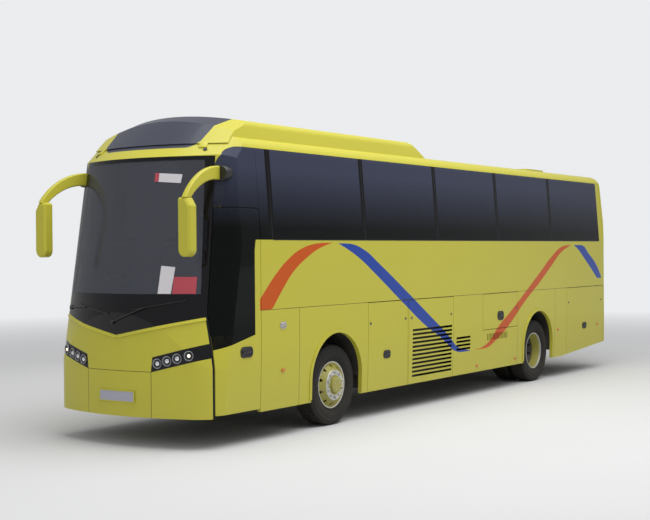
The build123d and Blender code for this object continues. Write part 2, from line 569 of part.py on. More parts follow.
# Bulkheads at the ends of the bays, let over the side members, and the locker floors between them
walls = []
for d in plates:
    zone = box(X(d + PLATE / 2), X(d - PLATE / 2), -FAR, FAR, BAY_Z if d != D_BACK else BAY_Z + 80, FLOOR_Z - FIT)
    zone = (zone & SEATED) - box(X(d + 20), X(d - 20), -FRAME_Y + 60, FRAME_Y - 60, 0, FRAME_Z0)
    for s in (-1, 1):
        y = s * FRAME_Y
        zone = zone - box(X(d + 20), X(d - 20), y - FRAME_W / 2 - FIT, y + FRAME_W / 2 + FIT, FRAME_Z0 - FIT,
                          FRAME_Z1 + FIT)
    walls.append(zone)
inset = PLATE / 2 + FIT
bays = [(680, D_FAN, -FAR, BAY_Z), (D_RAD, D_AFT, -FAR, BAY_Z), (D_BACK, TAIL - 280, -FAR, BAY_Z + 120)]
for d0, d1, y0, z in bays:
    y1 = -FRAME_Y + 60 if d0 == D_RAD else FAR
    floor_plate = box(X(d1 - inset), X(d0 + inset), y0, y1, z, z + PLATE) & CLEAR
    walls.append(floor_plate - box(X(TAIL), X(TOW_D[1] - 260), -50 - FIT, 50 + FIT, z - 10, z + 50))
put("bay_plates", *walls)

ENGINE = (1950, 3000, 350, 430, 930)               # d0, d1, half width, z0, z1
e = ENGINE
mounts = [box(X(d + 50), X(d - 50), s * (e[2] - 10), s * (FRAME_Y - FRAME_W / 2 - FIT), 780, 850)
          for d in (2100, 2850) for s in (-1, 1)]
put("engine_block", join([box(X(e[1]), X(e[0]), -e[2], e[2], e[3], e[4])] + mounts))
put("radiator_core", box(X(D_RAD - PLATE / 2 - FIT), X(D_FAN + PLATE / 2 + FIT), 1020, 1110, 440, 1130))
beside = FRAME_Y + FRAME_W / 2 + FIT
fuel = soft_box(X(D_AFT - 250), X(D_AFT - 1300), beside, 1130, 470, FRAME_Z1 - CROSS_H - FIT, 80, Axis.X)
put("tanks", fuel, xcyl(-beside - 130, 800, 130, X(-600), X(-1250)))

# Saloon floor with the stepwell and the cab floor
RUN, RISE_N = 250, 3
Y_WELL = 1155
y_cab = Y_WELL - RISE_N * RUN
rise = (CAB_Z + FLOOR_T - TREAD0) / RISE_N
decks = [box(X(TAIL - 280), X(-1440), -FAR, FAR, FLOOR_Z, FLOOR_Z + FLOOR_T)]
decks.append(box(X(-1440), X(-2620), -FAR, y_cab, CAB_Z, CAB_Z + FLOOR_T))
decks.append(box(X(-1440), X(-1460), -FAR, FAR, TREAD0 - 20, FLOOR_Z + FLOOR_T)
             - box(X(-1430), X(-1470), -FAR, -FRAME_Y + 500, 0, CAB_Z))
decks.append(box(X(-1460), X(-1740), -230, y_cab, (CAB_Z + FLOOR_Z) / 2 + 20, (CAB_Z + FLOOR_Z) / 2 + 60))
decks.append(box(X(-1460), X(-1740), y_cab - 20, y_cab, CAB_Z, (CAB_Z + FLOOR_Z) / 2 + 60))
for k in range(RISE_N):
    z = TREAD0 + k * rise
    ya = Y_WELL - k * RUN
    decks.append(box(X(-1460), X(D_DOOR0) - 10, ya - RUN, ya, z - 20, z))
    decks.append(box(X(-1460), X(D_DOOR0) - 10, ya - RUN - 15, ya - RUN, z - 20, z + rise))
decks.append(box(X(D_DOOR0) - 10, X(D_DOOR0) + 8, y_cab - 15, Y_WELL, TREAD0 - 20, CAB_Z + FLOOR_T))
floor = join([d & SEATED for d in decks])
put("saloon_floor", floor)

# Axles, knuckles and wheels
front_axle = [box(X(BEAM), X(-BEAM), -KINGPIN + 45 + FIT, KINGPIN - 45 - FIT, AXLE_Z - BEAM, AXLE_Z + BEAM)]
for s in (-1, 1):
    front_axle.append(zcyl(X(0), s * FRAME_Y, 95, AXLE_Z + BEAM - 5, FRAME_Z0 - FIT))
put("front_axle", join(front_axle))
AXLE_END = WHEEL_Y - OFFSET + 25
rear_axle = [ycyl(XR, AXLE_Z, AXLE_R, -AXLE_END, AXLE_END), ycyl(XR, AXLE_Z, 205, -130, 130)]
for s in (-1, 1):
    for dx in (-170, 170):
        rear_axle.append(zcyl(XR + dx, s * FRAME_Y, 90, AXLE_Z + 30, FRAME_Z0 - FIT))
    rear_axle.append(box(XR - 260, XR + 260, s * FRAME_Y - 60, s * FRAME_Y + 60, AXLE_Z - 30, AXLE_Z + 40))
put("rear_axle", join(rear_axle))


def revolved(pts, x, y, s):
    """A ring from points (radius, distance outboard of y), turned about a wheel's axis."""
    face = make_face(Polyline(*[(r, a * s, 0) for r, a in pts], close=True))
    return Pos(x, y, AXLE_Z) * revolve(face, axis=Axis.Y)


def tyre(x, y):
    w, lip = TYRE_W / 2, RIM_W / 2 - 16
    pts = [(RIM_R + FIT, -lip), (TYRE_R - 125, -w), (TYRE_R - 24, -w + 14), (TYRE_R, -w + 42),
           (TYRE_R, w - 42), (TYRE_R - 24, w - 14), (TYRE_R - 125, w), (RIM_R + FIT, lip)]
    return revolved(pts, x, y, 1)


HUB_R = 105
NUT_R = 168
HOLES_N, HOLE_AT, HOLE_R = 10, 238, 20     # hand-holes of a disc


def rim(x, y, s):
    """A disc wheel: the mounting face lies OFFSET outboard of its middle for s of its own side."""
    w, t = RIM_W / 2, DISC_T
    pts = [(RIM_R, -w), (RIM_R, w), (RIM_R - 12, w), (RIM_R - 44, w - 22), (215, OFFSET - 30),
           (NUT_R + 24, OFFSET), (HUB_R - 2, OFFSET), (HUB_R - 2, OFFSET - t), (NUT_R + 20, OFFSET - t),
           (RIM_R - 38, w - 62), (RIM_R - 12, -w)]
    disc = revolved(pts, x, y, s)
    for k in range(HOLES_N):
        a = 2 * pi * (k + 0.5) / HOLES_N
        hole = ycyl(x + HOLE_AT * cos(a), AXLE_Z + HOLE_AT * sin(a), HOLE_R, y, y + s * 200)
        disc = disc - hole
    return disc


for tag, s in (("left", 1), ("right", -1)):
    yw = s * WHEEL_Y
    put("tyre_front_" + tag, tyre(X(0), yw))
    hub = revolved([(SPINDLE_R + FIT, OFFSET - 90), (HUB_R, OFFSET - 90), (HUB_R, OFFSET + 34),
                    (HUB_R - 25, OFFSET + 42), (0, OFFSET + 42), (0, OFFSET + 10), (SPINDLE_R + FIT, OFFSET + 10)],
                   X(0), yw, s)
    put("rim_front_" + tag, rim(X(0), yw, s) + hub)
    knuckle = join([zcyl(X(0), s * KINGPIN, 45, AXLE_Z - 120, AXLE_Z + 120),
                    ycyl(X(0), AXLE_Z, SPINDLE_R, s * KINGPIN, s * (WHEEL_Y + OFFSET))])
    put("knuckle_" + tag, knuckle)
    yi = s * (WHEEL_Y - 2 * OFFSET)
    face = s * (WHEEL_Y - OFFSET)
    put("tyres_rear_" + tag, tyre(XR, yw), tyre(XR, yi))
    drum = revolved([(AXLE_R + FIT, -100), (HUB_R, -100), (HUB_R, 60), (HUB_R - 20, 75), (0, 75), (0, 32),
                     (AXLE_R + FIT, 32)], XR, face, s)
    put("rims_rear_" + tag, rim(XR, yw, -s) + rim(XR, yi, s) + drum)

# Arch liners
liners = []
zc = AXLE_Z + ARCH_RISE
for x, y_in in ((X(0), 640), (XR, 520)):
    ring = ycyl(x, zc, ARCH_R + LINER_T, y_in, FAR) - ycyl(x, zc, ARCH_R, y_in - 10, FAR + 10)
    ring = (ring & box(x - 700, x + 700, y_in, FAR, zc - 20, zc + 700)) & SEATED
    liners += [ring, mirror_y(ring)]
put("arch_liners", *liners)

# Rolled lips round the arches, proud of the flanks
PROUD = loaf(-LIP_T)
lips = []
for x in (X(0), XR):
    r = ARCH_R + LIP_W
    band = ycyl(x, zc, r, 900, FAR) + box(x - r, x + r, 900, FAR, Z_SKIRT + 30, zc)
    lip = (band - arch(x)) & PROUD - OUTER
    lips += [lip, mirror_y(lip)]
put("arch_lips", *lips)

# Interior
SEAT = [(-60, 0), (-60, 330), (0, 345), (10, 440), (-430, 415), (-560, 1080), (-640, 1070), (-540, 330), (-300, 320),
        (-300, 0)]
SEAT_W, AISLE, ROW, PITCH = 880, 240, -1330, 775
ROWS_N = int((TAIL - 280 - ROW - 640) // PITCH) + 1
top = FLOOR_Z + FLOOR_T + FIT
seats = []
for k in range(ROWS_N):
    x = X(ROW + k * PITCH)
    for y0 in (AISLE, -AISLE - SEAT_W):
        if k == 0 and y0 < 0:
            continue
        seats.append(xz_prism([(x + a, top + z) for a, z in SEAT], y0, y0 + SEAT_W))
put("passenger_seats", *seats)
cab_top = CAB_Z + FLOOR_T + FIT
xd = X(-1900)
driver = xz_prism([(xd + a, cab_top + z) for a, z in [(-80, 0), (-80, 420), (0, 430), (10, 530), (-430, 505),
                  (-540, 1200), (-640, 1190), (-530, 420), (-400, 410), (-400, 0)]], -880, -400)
put("driver_seat", driver)
dash = xz_prism([(X(-2180), cab_top), (X(-2200), 1720), (X(-2300), 1800), (X(-2700), 1690), (X(-2700), 1500),
                 (X(-2450), cab_top)], -FAR, y_cab - 20) & SEATED
put("dashboard", dash)
wheel_at = Pos(X(-2060), -640, 1900) * Rot(0, -28, 0)
rim_pts = [(208, 0), (216, 14), (234, 14), (242, 0), (234, -14), (216, -14)]
rim_face = make_face(Polyline(*[(r, 0, z) for r, z in rim_pts], close=True))
steering = join([wheel_at * revolve(rim_face, axis=Axis.Z), wheel_at * Box(430, 36, 20),
                 wheel_at * Pos(0, 0, -20) * Cylinder(45, 40), wheel_at * Pos(0, 0, -150) * Cylinder(28, 290)]) - dash
put("steering_wheel", steering)
rack = yz_prism([(FAR, 3270), (820, 3285), (800, 3335), (840, 3350), (FAR, 3350)], X(TAIL - 330), X(-900)) & SEATED
rack_r = mirror_y(rack) - mirror_y(left_box(D_ED0 - 20, D_ED1 + 20, 3200, 3400, 1130))
put("luggage_racks", rack, rack_r)

# Mirrors on swan-neck arms: deep at the root, each in an upright plane that runs out to its head
heads, arms = [], []
HEAD = (120, 175, 650)                 # depth, width, height
HEAD_Y, HEAD_TOP = 1112, 2812
ROOT_D, ROOT_Y, ROOT_Z, ROOT_H, ARM_T = -2100, 1040, 3190, 160, 66
x1 = X(-MIRROR_REACH)
hw, hb = HEAD[1] / 2, HEAD_TOP - HEAD[2]
run_x, run_y = x1 - HEAD[0] / 2 - X(ROOT_D), HEAD_Y - ROOT_Y
reach = hypot(run_x, run_y)
t0, t1 = reach - 58, reach + 58
outer = ThreePointArc((0, 0, ROOT_Z), (0.66 * reach, 0, ROOT_Z - 115), (t1, 0, HEAD_TOP))
inner = ThreePointArc((t0, 0, HEAD_TOP), (0.58 * reach, 0, ROOT_Z - ROOT_H - 68), (0, 0, ROOT_Z - ROOT_H))
foot = Line((t1, 0, HEAD_TOP), (t0, 0, HEAD_TOP))
root = Line((0, 0, ROOT_Z - ROOT_H), (0, 0, ROOT_Z))
neck = Pos(0, -ARM_T / 2, 0) * extrude(make_face([outer, foot, inner, root]), amount=ARM_T, dir=(0, 1, 0))
long_edges = [e for e in neck.edges() if e.geom_type == GeomType.CIRCLE]
neck = fillet(long_edges, 18)
shell = yz_prism([(HEAD_Y - hw, hb), (HEAD_Y + hw, hb), (HEAD_Y + hw, HEAD_TOP - 95), (HEAD_Y + hw - 60, HEAD_TOP),
                  (HEAD_Y - hw, HEAD_TOP)], x1 - HEAD[0], x1)
shell = fillet([e for e in shell.edges().filter_by(Axis.X) if e.center().Z < hb + 1], 85)
shell = fillet([e for e in shell.edges().filter_by(Axis.X) if e.center().Z > HEAD_TOP - 100], 32)
shell = chamfer(shell.faces().sort_by(Axis.X)[-1].edges(), 22)
for s in (1, -1):
    arm_left = Pos(X(ROOT_D), ROOT_Y, 0) * Rot(0, 0, degrees(atan2(run_y, run_x))) * neck
    arm_left = arm_left - OUTER
    heads.append(shell if s > 0 else mirror_y(shell))
    arms.append(arm_left if s > 0 else mirror_y(arm_left))
put("mirror_heads", *heads)
put("mirror_arms", *arms)

# Number plates, blank
PLATE_W, PLATE_H = 520, 112
plate_f = box(XN - 20, XN + 6, -PLATE_W / 2, PLATE_W / 2, 520, 520 + PLATE_H) - OUTER
plate_r = box(XT, XT + 40, -PLATE_W / 2, PLATE_W / 2, 680, 680 + PLATE_H) - OUTER
put("number_plates", plate_f, plate_r)
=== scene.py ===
# %% [markdown]
# # Dressing a touring coach
# The coach is a steel and aluminium body with bonded glass, and its CAD model already has every
# panel, door and wheel in place. This lesson gives those panels their paint, glass and rubber, and
# models the small things that a panel beater, a glazier and a trimmer would add by hand.

# %% Load the frame
from math import atan2, pi, radians, sin, sqrt

import bmesh
import bpy
from mathutils import Matrix, Vector


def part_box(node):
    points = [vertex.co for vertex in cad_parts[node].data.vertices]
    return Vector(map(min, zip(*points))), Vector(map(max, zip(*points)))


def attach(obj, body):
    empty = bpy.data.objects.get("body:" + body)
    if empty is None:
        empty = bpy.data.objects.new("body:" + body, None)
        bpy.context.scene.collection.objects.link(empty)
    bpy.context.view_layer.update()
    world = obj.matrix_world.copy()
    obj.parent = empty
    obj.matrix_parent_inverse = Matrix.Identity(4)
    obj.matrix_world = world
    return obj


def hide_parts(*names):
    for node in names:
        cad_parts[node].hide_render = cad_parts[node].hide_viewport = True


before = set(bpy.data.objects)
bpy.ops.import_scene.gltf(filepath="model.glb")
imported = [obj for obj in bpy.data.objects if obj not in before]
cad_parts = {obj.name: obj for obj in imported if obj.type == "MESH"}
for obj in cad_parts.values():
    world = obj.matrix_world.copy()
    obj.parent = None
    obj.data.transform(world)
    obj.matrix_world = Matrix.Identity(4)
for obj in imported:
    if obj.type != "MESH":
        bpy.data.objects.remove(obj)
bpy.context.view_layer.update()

# %% [markdown]
# ## Places on the coach
# Everything on a coach is placed from its axles. The tyres of the model give the middle of the front
# axle and the size of a wheel, and the rest is so many metres ahead of that axle or behind it.

# %% Places from the wheels
TYRE_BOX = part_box("tyre_front_left")
WHEEL_R = (TYRE_BOX[1][2] - TYRE_BOX[0][2]) / 2
WHEEL_Z = TYRE_BOX[0][2] + WHEEL_R
FRONT_X = (TYRE_BOX[0][0] + TYRE_BOX[1][0]) / 2
REAR_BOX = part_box("tyres_rear_left")
REAR_X = (REAR_BOX[0][0] + REAR_BOX[1][0]) / 2
RIM_R = (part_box("rim_front_left")[1][2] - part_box("rim_front_left")[0][2]) / 2
print("front axle at", round(FRONT_X, 3), "rear axle at", round(REAR_X, 3))

# %% [markdown]
# ## The camera
# The photograph was taken from the kerb ahead of the coach, at about eye height on a slight bank,
# with a lens somewhat longer than normal. The camera goes to that spot and is turned, not shifted,
# so other views of the coach can use the same camera.

# %% Camera
CAMERA_AT = (FRONT_X + 13.064, 9.917, 2.225)
CAMERA_HEADING, CAMERA_PITCH, CAMERA_ROLL, CAMERA_LENS = -145.873, -0.463, -0.441, 68.5
camera = bpy.data.objects.new("camera", bpy.data.cameras.new("camera"))
camera.data.lens = CAMERA_LENS
bpy.context.collection.objects.link(camera)
aimed = Matrix.Rotation(radians(CAMERA_HEADING - 90), 4, "Z") @ Matrix.Rotation(radians(90 + CAMERA_PITCH), 4, "X")
camera.matrix_world = Matrix.Translation(CAMERA_AT) @ aimed @ Matrix.Rotation(radians(CAMERA_ROLL), 4, "Z")
bpy.context.scene.camera = camera
print("camera lens", camera.data.lens)

# %% [markdown]
# ## Small helpers for shader nodes
# A finish is a short chain of nodes. One helper adds a node and sets its sockets or links them, so
# that each material below reads as a list of what it is made of.

# %% Helpers for nodes
def put(tree, kind, values=None, **settings):
    """Add a shader node; a value that is a socket is linked, any other is set."""
    node = tree.nodes.new("ShaderNode" + kind)
    for key, value in settings.items():
        setattr(node, key, value)
    for key, value in (values or {}).items():
        if isinstance(value, bpy.types.NodeSocket):
            tree.links.new(value, node.inputs[key])
        else:
            node.inputs[key].default_value = value
    return node


def calc(tree, operation, first, second=0.0, third=0.0):
    return put(tree, "Math", {0: first, 1: second, 2: third}, operation=operation).outputs[0]


def all_of(tree, mask, *others):
    """The product of several masks."""
    for other in others:
        mask = calc(tree, "MULTIPLY", mask, other)
    return mask


def axes_of(material):
    """The three coordinates of a place on the piece that wears a material."""
    return put(material.node_tree, "SeparateXYZ", {0: place_of(material)}).outputs


def blend_colour(tree, factor, first, second):
    return put(tree, "Mix", {0: factor, 6: first, 7: second}, data_type="RGBA").outputs[2]


def new_group(name, inputs, outputs):
    """A shader node group with named inputs and outputs; returns it with its inner sockets."""
    group = bpy.data.node_groups.new(name, "ShaderNodeTree")
    for label, kind, value in inputs:
        socket = group.interface.new_socket(name=label, in_out="INPUT", socket_type="NodeSocket" + kind)
        if value is not None:
            socket.default_value = value
    for label, kind in outputs:
        group.interface.new_socket(name=label, in_out="OUTPUT", socket_type="NodeSocket" + kind)
    return group, group.nodes.new("NodeGroupInput").outputs, group.nodes.new("NodeGroupOutput").inputs


def use(tree, group, **values):
    node = tree.nodes.new("ShaderNodeGroup")
    node.node_tree = group
    for key, value in values.items():
        socket = node.inputs[key.replace("_", " ")]
        if isinstance(value, bpy.types.NodeSocket):
            tree.links.new(value, socket)
        else:
            socket.default_value = value
    return node.outputs

# %% [markdown]
# ## Effects that many finishes share
# Paint, plastic and rubber all vary a little in tone and have a fine relief. A group called fine
# grain gives both. A second group gives a film that is thickest at the skirt: road dust on the dark
# parts, and on the yellow paint a painted shade, darker towards the bottom.

# %% Fine grain, and road dust with painted low shade
grain, gi, go = new_group("fine grain", [("Vector", "Vector", None), ("Size", "Float", 0.01)],
                          [("Tone", "Float"), ("Relief", "Float")])
fine = put(grain, "TexNoise", {"Vector": gi["Vector"], "Scale": calc(grain, "DIVIDE", 1.0, gi["Size"]),
                               "Detail": 3.0, "Roughness": 0.6})
broad = put(grain, "TexNoise", {"Vector": gi["Vector"], "Scale": 0.9, "Detail": 3.0})
grain.links.new(broad.outputs["Fac"], go["Tone"])
grain.links.new(fine.outputs["Fac"], go["Relief"])

dust_and_shade, gi, go = new_group("road dust", [("Vector", "Vector", None), ("Top", "Float", 0.9), ("Amount", "Float", 0.3)],
                         [("Mask", "Float")])
height = put(dust_and_shade, "SeparateXYZ", {0: gi["Vector"]}).outputs["Z"]
fade = put(dust_and_shade, "MapRange", {"Value": height, "From Min": 0.25, "From Max": gi["Top"], "To Min": 1.0,
                              "To Max": 0.0}).outputs["Result"]
cloud = put(dust_and_shade, "TexNoise", {"Vector": gi["Vector"], "Scale": 3.5, "Detail": 5.0, "Roughness": 0.65})
dust_and_shade.links.new(all_of(dust_and_shade, fade, cloud.outputs["Fac"], gi["Amount"]), go["Mask"])
print("groups", grain.name, "and", dust_and_shade.name)

# %% [markdown]
# ## A finish
# Every surface uses the Principled shader. Its base colour varies slightly with the broad tone, the
# low film lightens dark parts as dust and darkens the yellow paint as painted shade, and the fine
# relief goes through a Bump node. What stays the same all over a piece, such as coat or metal, is set
# on the shader's own socket.

# %% A finish from its values
# Road dust brown; low on the yellow paint the same film is painted shade
DUST_AND_SHADE_COLOUR = (0.20, 0.17, 0.12, 1)


def shader_of(material):
    return material.node_tree.nodes["Principled BSDF"]


def place_of(material):
    tree = material.node_tree
    return next(n for n in tree.nodes if n.bl_idname == "ShaderNodeTexCoord").outputs["Object"]


def finish(name, colour, rough, metal=0.0, coat=0.0, vary=0.08, size=0.004, relief=0.02, dirt_and_shade=0.0, top=0.9,
           specular=0.5):
    """A material of one colour with tone, relief and a low film of dust and painted shade."""
    material = bpy.data.materials.new(name)
    material.use_nodes = True
    tree = material.node_tree
    shader = shader_of(material)
    place = put(tree, "TexCoord").outputs["Object"]
    tone = use(tree, grain, Vector=place, Size=size)
    colour = (*colour[:3], 1)
    darker = tuple(c * (1 - vary) for c in colour[:3]) + (1,)
    shade = blend_colour(tree, tone["Tone"], darker, colour)
    # Low down this lightens dark pieces as dust and darkens the yellow paint as painted shade
    if dirt_and_shade:
        dust_and_shade_mask = use(tree, dust_and_shade, Vector=place, Top=top, Amount=dirt_and_shade)["Mask"]
        shade = blend_colour(tree, dust_and_shade_mask, shade, DUST_AND_SHADE_COLOUR)
        tree.links.new(calc(tree, "MULTIPLY_ADD", dust_and_shade_mask, 0.5, rough), shader.inputs["Roughness"])
    else:
        spread = put(tree, "MapRange", {"Value": tone["Tone"], "To Min": rough * 0.9, "To Max": rough * 1.1})
        tree.links.new(spread.outputs["Result"], shader.inputs["Roughness"])
    tree.links.new(shade, shader.inputs["Base Color"])
    bump = put(tree, "Bump", {"Strength": relief, "Distance": 0.001, "Height": tone["Relief"]})
    tree.links.new(bump.outputs["Normal"], shader.inputs["Normal"])
    shader.inputs["Metallic"].default_value = metal
    shader.inputs["Coat Weight"].default_value = coat
    shader.inputs["Coat Roughness"].default_value = 0.05
    shader.inputs["Specular IOR Level"].default_value = specular
    return material


def recolour(material, mask, colour):
    """Put another colour over a finish where a mask says."""
    tree = material.node_tree
    socket = shader_of(material).inputs["Base Color"]
    under = socket.links[0].from_socket
    tree.links.new(blend_colour(tree, mask, under, (*colour, 1)), socket)

# %% [markdown]
# ## Livery
# The stripes are vinyl laid over the finished paint, two orange and two blue, that rise and fall along
# each side as one wave. Each stripe lies between an upper and a lower edge, and an edge is a height
# that changes along the coach, which a Float Curve holds well. Places are metres ahead of the axle.

# %% Stripes between two edges
LENGTH_SPAN, LENGTH_AT, HEIGHT_SPAN = 13.0, 0.75, 4.0
ORANGE, BLUE = (0.50, 0.075, 0.001), (0.010, 0.048, 0.30)
STRIPES = {
    "front orange": (ORANGE,
                     [(1.625, 1.66), (1.315, 1.94), (1.055, 2.12), (0.795, 2.24), (0.515, 2.30), (0.095, 2.32)],
                     [(1.625, 1.53), (1.395, 1.53), (1.365, 1.56), (1.195, 1.74), (0.935, 1.98), (0.655, 2.14),
                      (0.385, 2.25), (0.095, 2.32)]),
    "front blue": (BLUE,
                   [(-0.025, 2.31), (-0.345, 2.30), (-0.655, 2.22), (-0.975, 2.06), (-1.635, 1.70), (-2.345, 1.30),
                    (-2.885, 0.99), (-3.055, 0.88), (-3.235, 0.77), (-3.635, 0.69)],
                   [(-0.025, 2.31), (-0.225, 2.24), (-0.495, 2.13), (-0.975, 1.87), (-1.635, 1.49), (-2.305, 1.12),
                    (-2.675, 0.96), (-2.885, 0.85), (-3.145, 0.72), (-3.385, 0.685), (-3.635, 0.685)]),
    "rear orange": (ORANGE,
                    [(-3.795, 0.69), (-4.025, 0.71), (-4.295, 0.80), (-4.545, 0.98), (-5.045, 1.23), (-6.155, 1.82),
                     (-6.675, 2.10), (-7.075, 2.25), (-7.475, 2.285)],
                    [(-3.795, 0.685), (-4.175, 0.69), (-4.455, 0.77), (-4.955, 1.00), (-5.565, 1.36), (-6.155, 1.66),
                     (-6.675, 1.95), (-7.065, 2.16), (-7.475, 2.28)]),
    "rear blue": (BLUE,
                  [(-7.625, 2.28), (-7.895, 2.28), (-8.315, 2.11), (-8.645, 1.92), (-8.895, 1.68)],
                  [(-7.625, 2.27), (-7.785, 2.21), (-8.095, 2.03), (-8.415, 1.84), (-8.635, 1.695), (-8.665, 1.67),
                   (-8.895, 1.67)]),
}


def edge_height(tree, along, points):
    """The height of a stripe's edge at a place along the coach."""
    curve = put(tree, "FloatCurve", {1: along})
    line = curve.mapping.curves[0]
    spots = sorted((x / LENGTH_SPAN + LENGTH_AT, z / HEIGHT_SPAN) for x, z in points)
    line.points[0].location, line.points[1].location = spots[0], spots[-1]
    for spot in spots[1:-1]:
        line.points.new(*spot)
    for point in line.points:
        point.handle_type = "AUTO_CLAMPED"
    curve.mapping.update()
    return calc(tree, "MULTIPLY", curve.outputs[0], HEIGHT_SPAN)


def stripe_group(name, upper, lower):
    group, gi, go = new_group(name, [("Ahead", "Float", 0.0), ("Side", "Float", 0.0), ("Height", "Float", 0.0)],
                              [("Mask", "Float")])
    along = calc(group, "MULTIPLY_ADD", gi["Ahead"], 1 / LENGTH_SPAN, LENGTH_AT)
    tests = [calc(group, "GREATER_THAN", edge_height(group, along, upper), gi["Height"]),
             calc(group, "GREATER_THAN", gi["Height"], edge_height(group, along, lower)),
             calc(group, "LESS_THAN", gi["Ahead"], upper[0][0]),
             calc(group, "GREATER_THAN", gi["Ahead"], upper[-1][0])]
    on_side = calc(group, "GREATER_THAN", calc(group, "ABSOLUTE", gi["Side"]), 1.15)
    group.links.new(all_of(group, on_side, *tests), go["Mask"])
    return group


seam, gi, go = new_group("panel seam", [(label, "Float", 0.0) for label in ("Across", "At", "Along", "From", "To")]
                         + [("Half Width", "Float", 0.0035)], [("Mask", "Float")])
off_line = calc(seam, "ABSOLUTE", calc(seam, "SUBTRACT", gi["Across"], gi["At"]))
on_line = calc(seam, "LESS_THAN", off_line, gi["Half Width"])
past_from = calc(seam, "GREATER_THAN", gi["Along"], gi["From"])
before_to = calc(seam, "LESS_THAN", gi["Along"], gi["To"])
seam.links.new(all_of(seam, on_line, past_from, before_to), go["Mask"])
stripe_groups = {title: stripe_group(title, upper, lower) for title, (_, upper, lower) in STRIPES.items()}
print("stripes", len(STRIPES))

# %% [markdown]
# ## Coach paint
# The body is one bright yellow two-pack paint. Four versions share the stripes and seams: one for the
# sides, one for the nose with a black strip at its rear edge, one for the door with black under its
# pane, and one for the roof with a dark pane bonded over the driver. Small pieces wear it plain.

# %% Coach paint
YELLOW = (0.50, 0.462, 0.048)
BLACK = (0.006, 0.006, 0.007)
SEAM_SHADE = (0.09, 0.08, 0.015)
SKIRT, WAIST, GLASS_FOOT, GLASS_HEAD = 0.3, 1.53, 2.352, 3.418
PILLARS = (1.370, -0.675, -2.640, -4.605, -6.645)
# Seams: across which axis, where, along which axis, from, to
SEAMS = [("Z", WAIST, "X", -8.98, 1.60), ("X", 0.835, "Z", SKIRT, WAIST), ("X", -5.29, "Z", SKIRT, 0.97),
         ("X", -6.765, "Z", SKIRT, WAIST)]
# Black primer under the glass and inside the grilles: middle and half length, lowest and highest
GLAZED, GRILLED = (-3.05, 5.75, GLASS_FOOT, GLASS_HEAD), (-3.4, 1.6, 0.40, 1.13)
YELLOW_COAT = dict(colour=YELLOW, rough=0.34, coat=0.08, vary=0.06, size=0.0015, relief=0.03, specular=0.22)


def strip(tree, across, at, along, start, end, half=0.0035):
    """A mask of a straight strip, by default as narrow as a panel seam."""
    return use(tree, seam, Across=across, At=at, Along=along, From=start, To=end, Half_Width=half)["Mask"]


def coach_paint(name):
    """Yellow paint with stripes and seams; returns it with ahead, side and height."""
    # The low film on this paint is a faint painted shade, darker towards the skirt
    material = finish(name, dirt_and_shade=0.14, top=1.0, **YELLOW_COAT)
    tree, axes = material.node_tree, axes_of(material)
    ahead = calc(tree, "SUBTRACT", axes["X"], FRONT_X)
    for title, (colour, _, _) in STRIPES.items():
        stripe = use(tree, stripe_groups[title], Ahead=ahead, Side=axes["Y"], Height=axes["Z"])["Mask"]
        recolour(material, stripe, colour)
    aside = calc(tree, "ABSOLUTE", axes["Y"])
    side_only = calc(tree, "GREATER_THAN", aside, 1.2)
    lines = {"X": ahead, "Z": axes["Z"]}
    for across, at, along, start, end in SEAMS:
        line = strip(tree, lines[across], at, lines[along], start, end)
        recolour(material, all_of(tree, line, side_only), SEAM_SHADE)
    # The flank leans, so the place just inside it depends on the height
    inside = calc(tree, "LESS_THAN", aside, calc(tree, "MULTIPLY_ADD", axes["Z"], 0.0332, 1.2094))
    outboard = calc(tree, "GREATER_THAN", aside, 1.1)
    for (at, half, low, high), limits in ((GLAZED, [outboard]), (GRILLED, [outboard, inside])):
        behind = strip(tree, ahead, at, axes["Z"], low, high, half)
        recolour(material, all_of(tree, behind, *limits), BLACK)
    return material, ahead, axes["Y"], axes["Z"]


paint = coach_paint("coach_yellow_paint")[0]
plain_paint = finish("plain_yellow_paint", **YELLOW_COAT)
nose_paint, ahead, side, up = coach_paint("nose_yellow_paint")
tree = nose_paint.node_tree
recolour(nose_paint, strip(tree, ahead, 2.384, up, 0.25, 1.6, 0.010), BLACK)
FLAP_SIDE, FLAP_TOP = 0.488, 0.866
cross_line = strip(tree, up, FLAP_TOP, side, -FLAP_SIDE, FLAP_SIDE)
corner_line = strip(tree, calc(tree, "ABSOLUTE", side), FLAP_SIDE, up, SKIRT, FLAP_TOP + 0.002)
on_front = calc(tree, "GREATER_THAN", ahead, 2.45)
recolour(nose_paint, all_of(tree, calc(tree, "MAXIMUM", corner_line, cross_line), on_front), SEAM_SHADE)

door_paint, ahead, side, up = coach_paint("door_yellow_paint")
tree = door_paint.node_tree
under_pane = strip(tree, ahead, 2.12, up, 1.27, 3.0, 0.40)
recolour(door_paint, calc(tree, "MAXIMUM", under_pane, calc(tree, "GREATER_THAN", up, GLASS_FOOT)), BLACK)

roof_paint, ahead, side, up = coach_paint("roof_yellow_paint")
tree = roof_paint.node_tree
spread = calc(tree, "ABSOLUTE", side)
within = calc(tree, "LESS_THAN", spread, calc(tree, "MULTIPLY_ADD", ahead, -0.10, 0.945))
corner = calc(tree, "MAXIMUM", calc(tree, "SUBTRACT", spread, 0.60), 0.0)
sill = calc(tree, "MULTIPLY_ADD", calc(tree, "MULTIPLY", corner, corner), 4.0, 3.415)
above = calc(tree, "GREATER_THAN", up, sill)
before = calc(tree, "GREATER_THAN", ahead, calc(tree, "MULTIPLY_ADD", spread, 0.35, 1.05))
recolour(roof_paint, all_of(tree, within, above, before), (0.040, 0.044, 0.064))
print("paint nodes", len(tree.nodes))

# %% [markdown]
# ## Glass, rubber, cloth and metal
# The side glass is tinted so dark that the saloon only just shows, and its upper part carries a
# painted reflection of the sky. The windscreen is clear, and its grey is a painted reflection. Black
# gloss is the printed border of bonded glass and the lamp bands. Each finish gets its own tone,
# relief and dust.

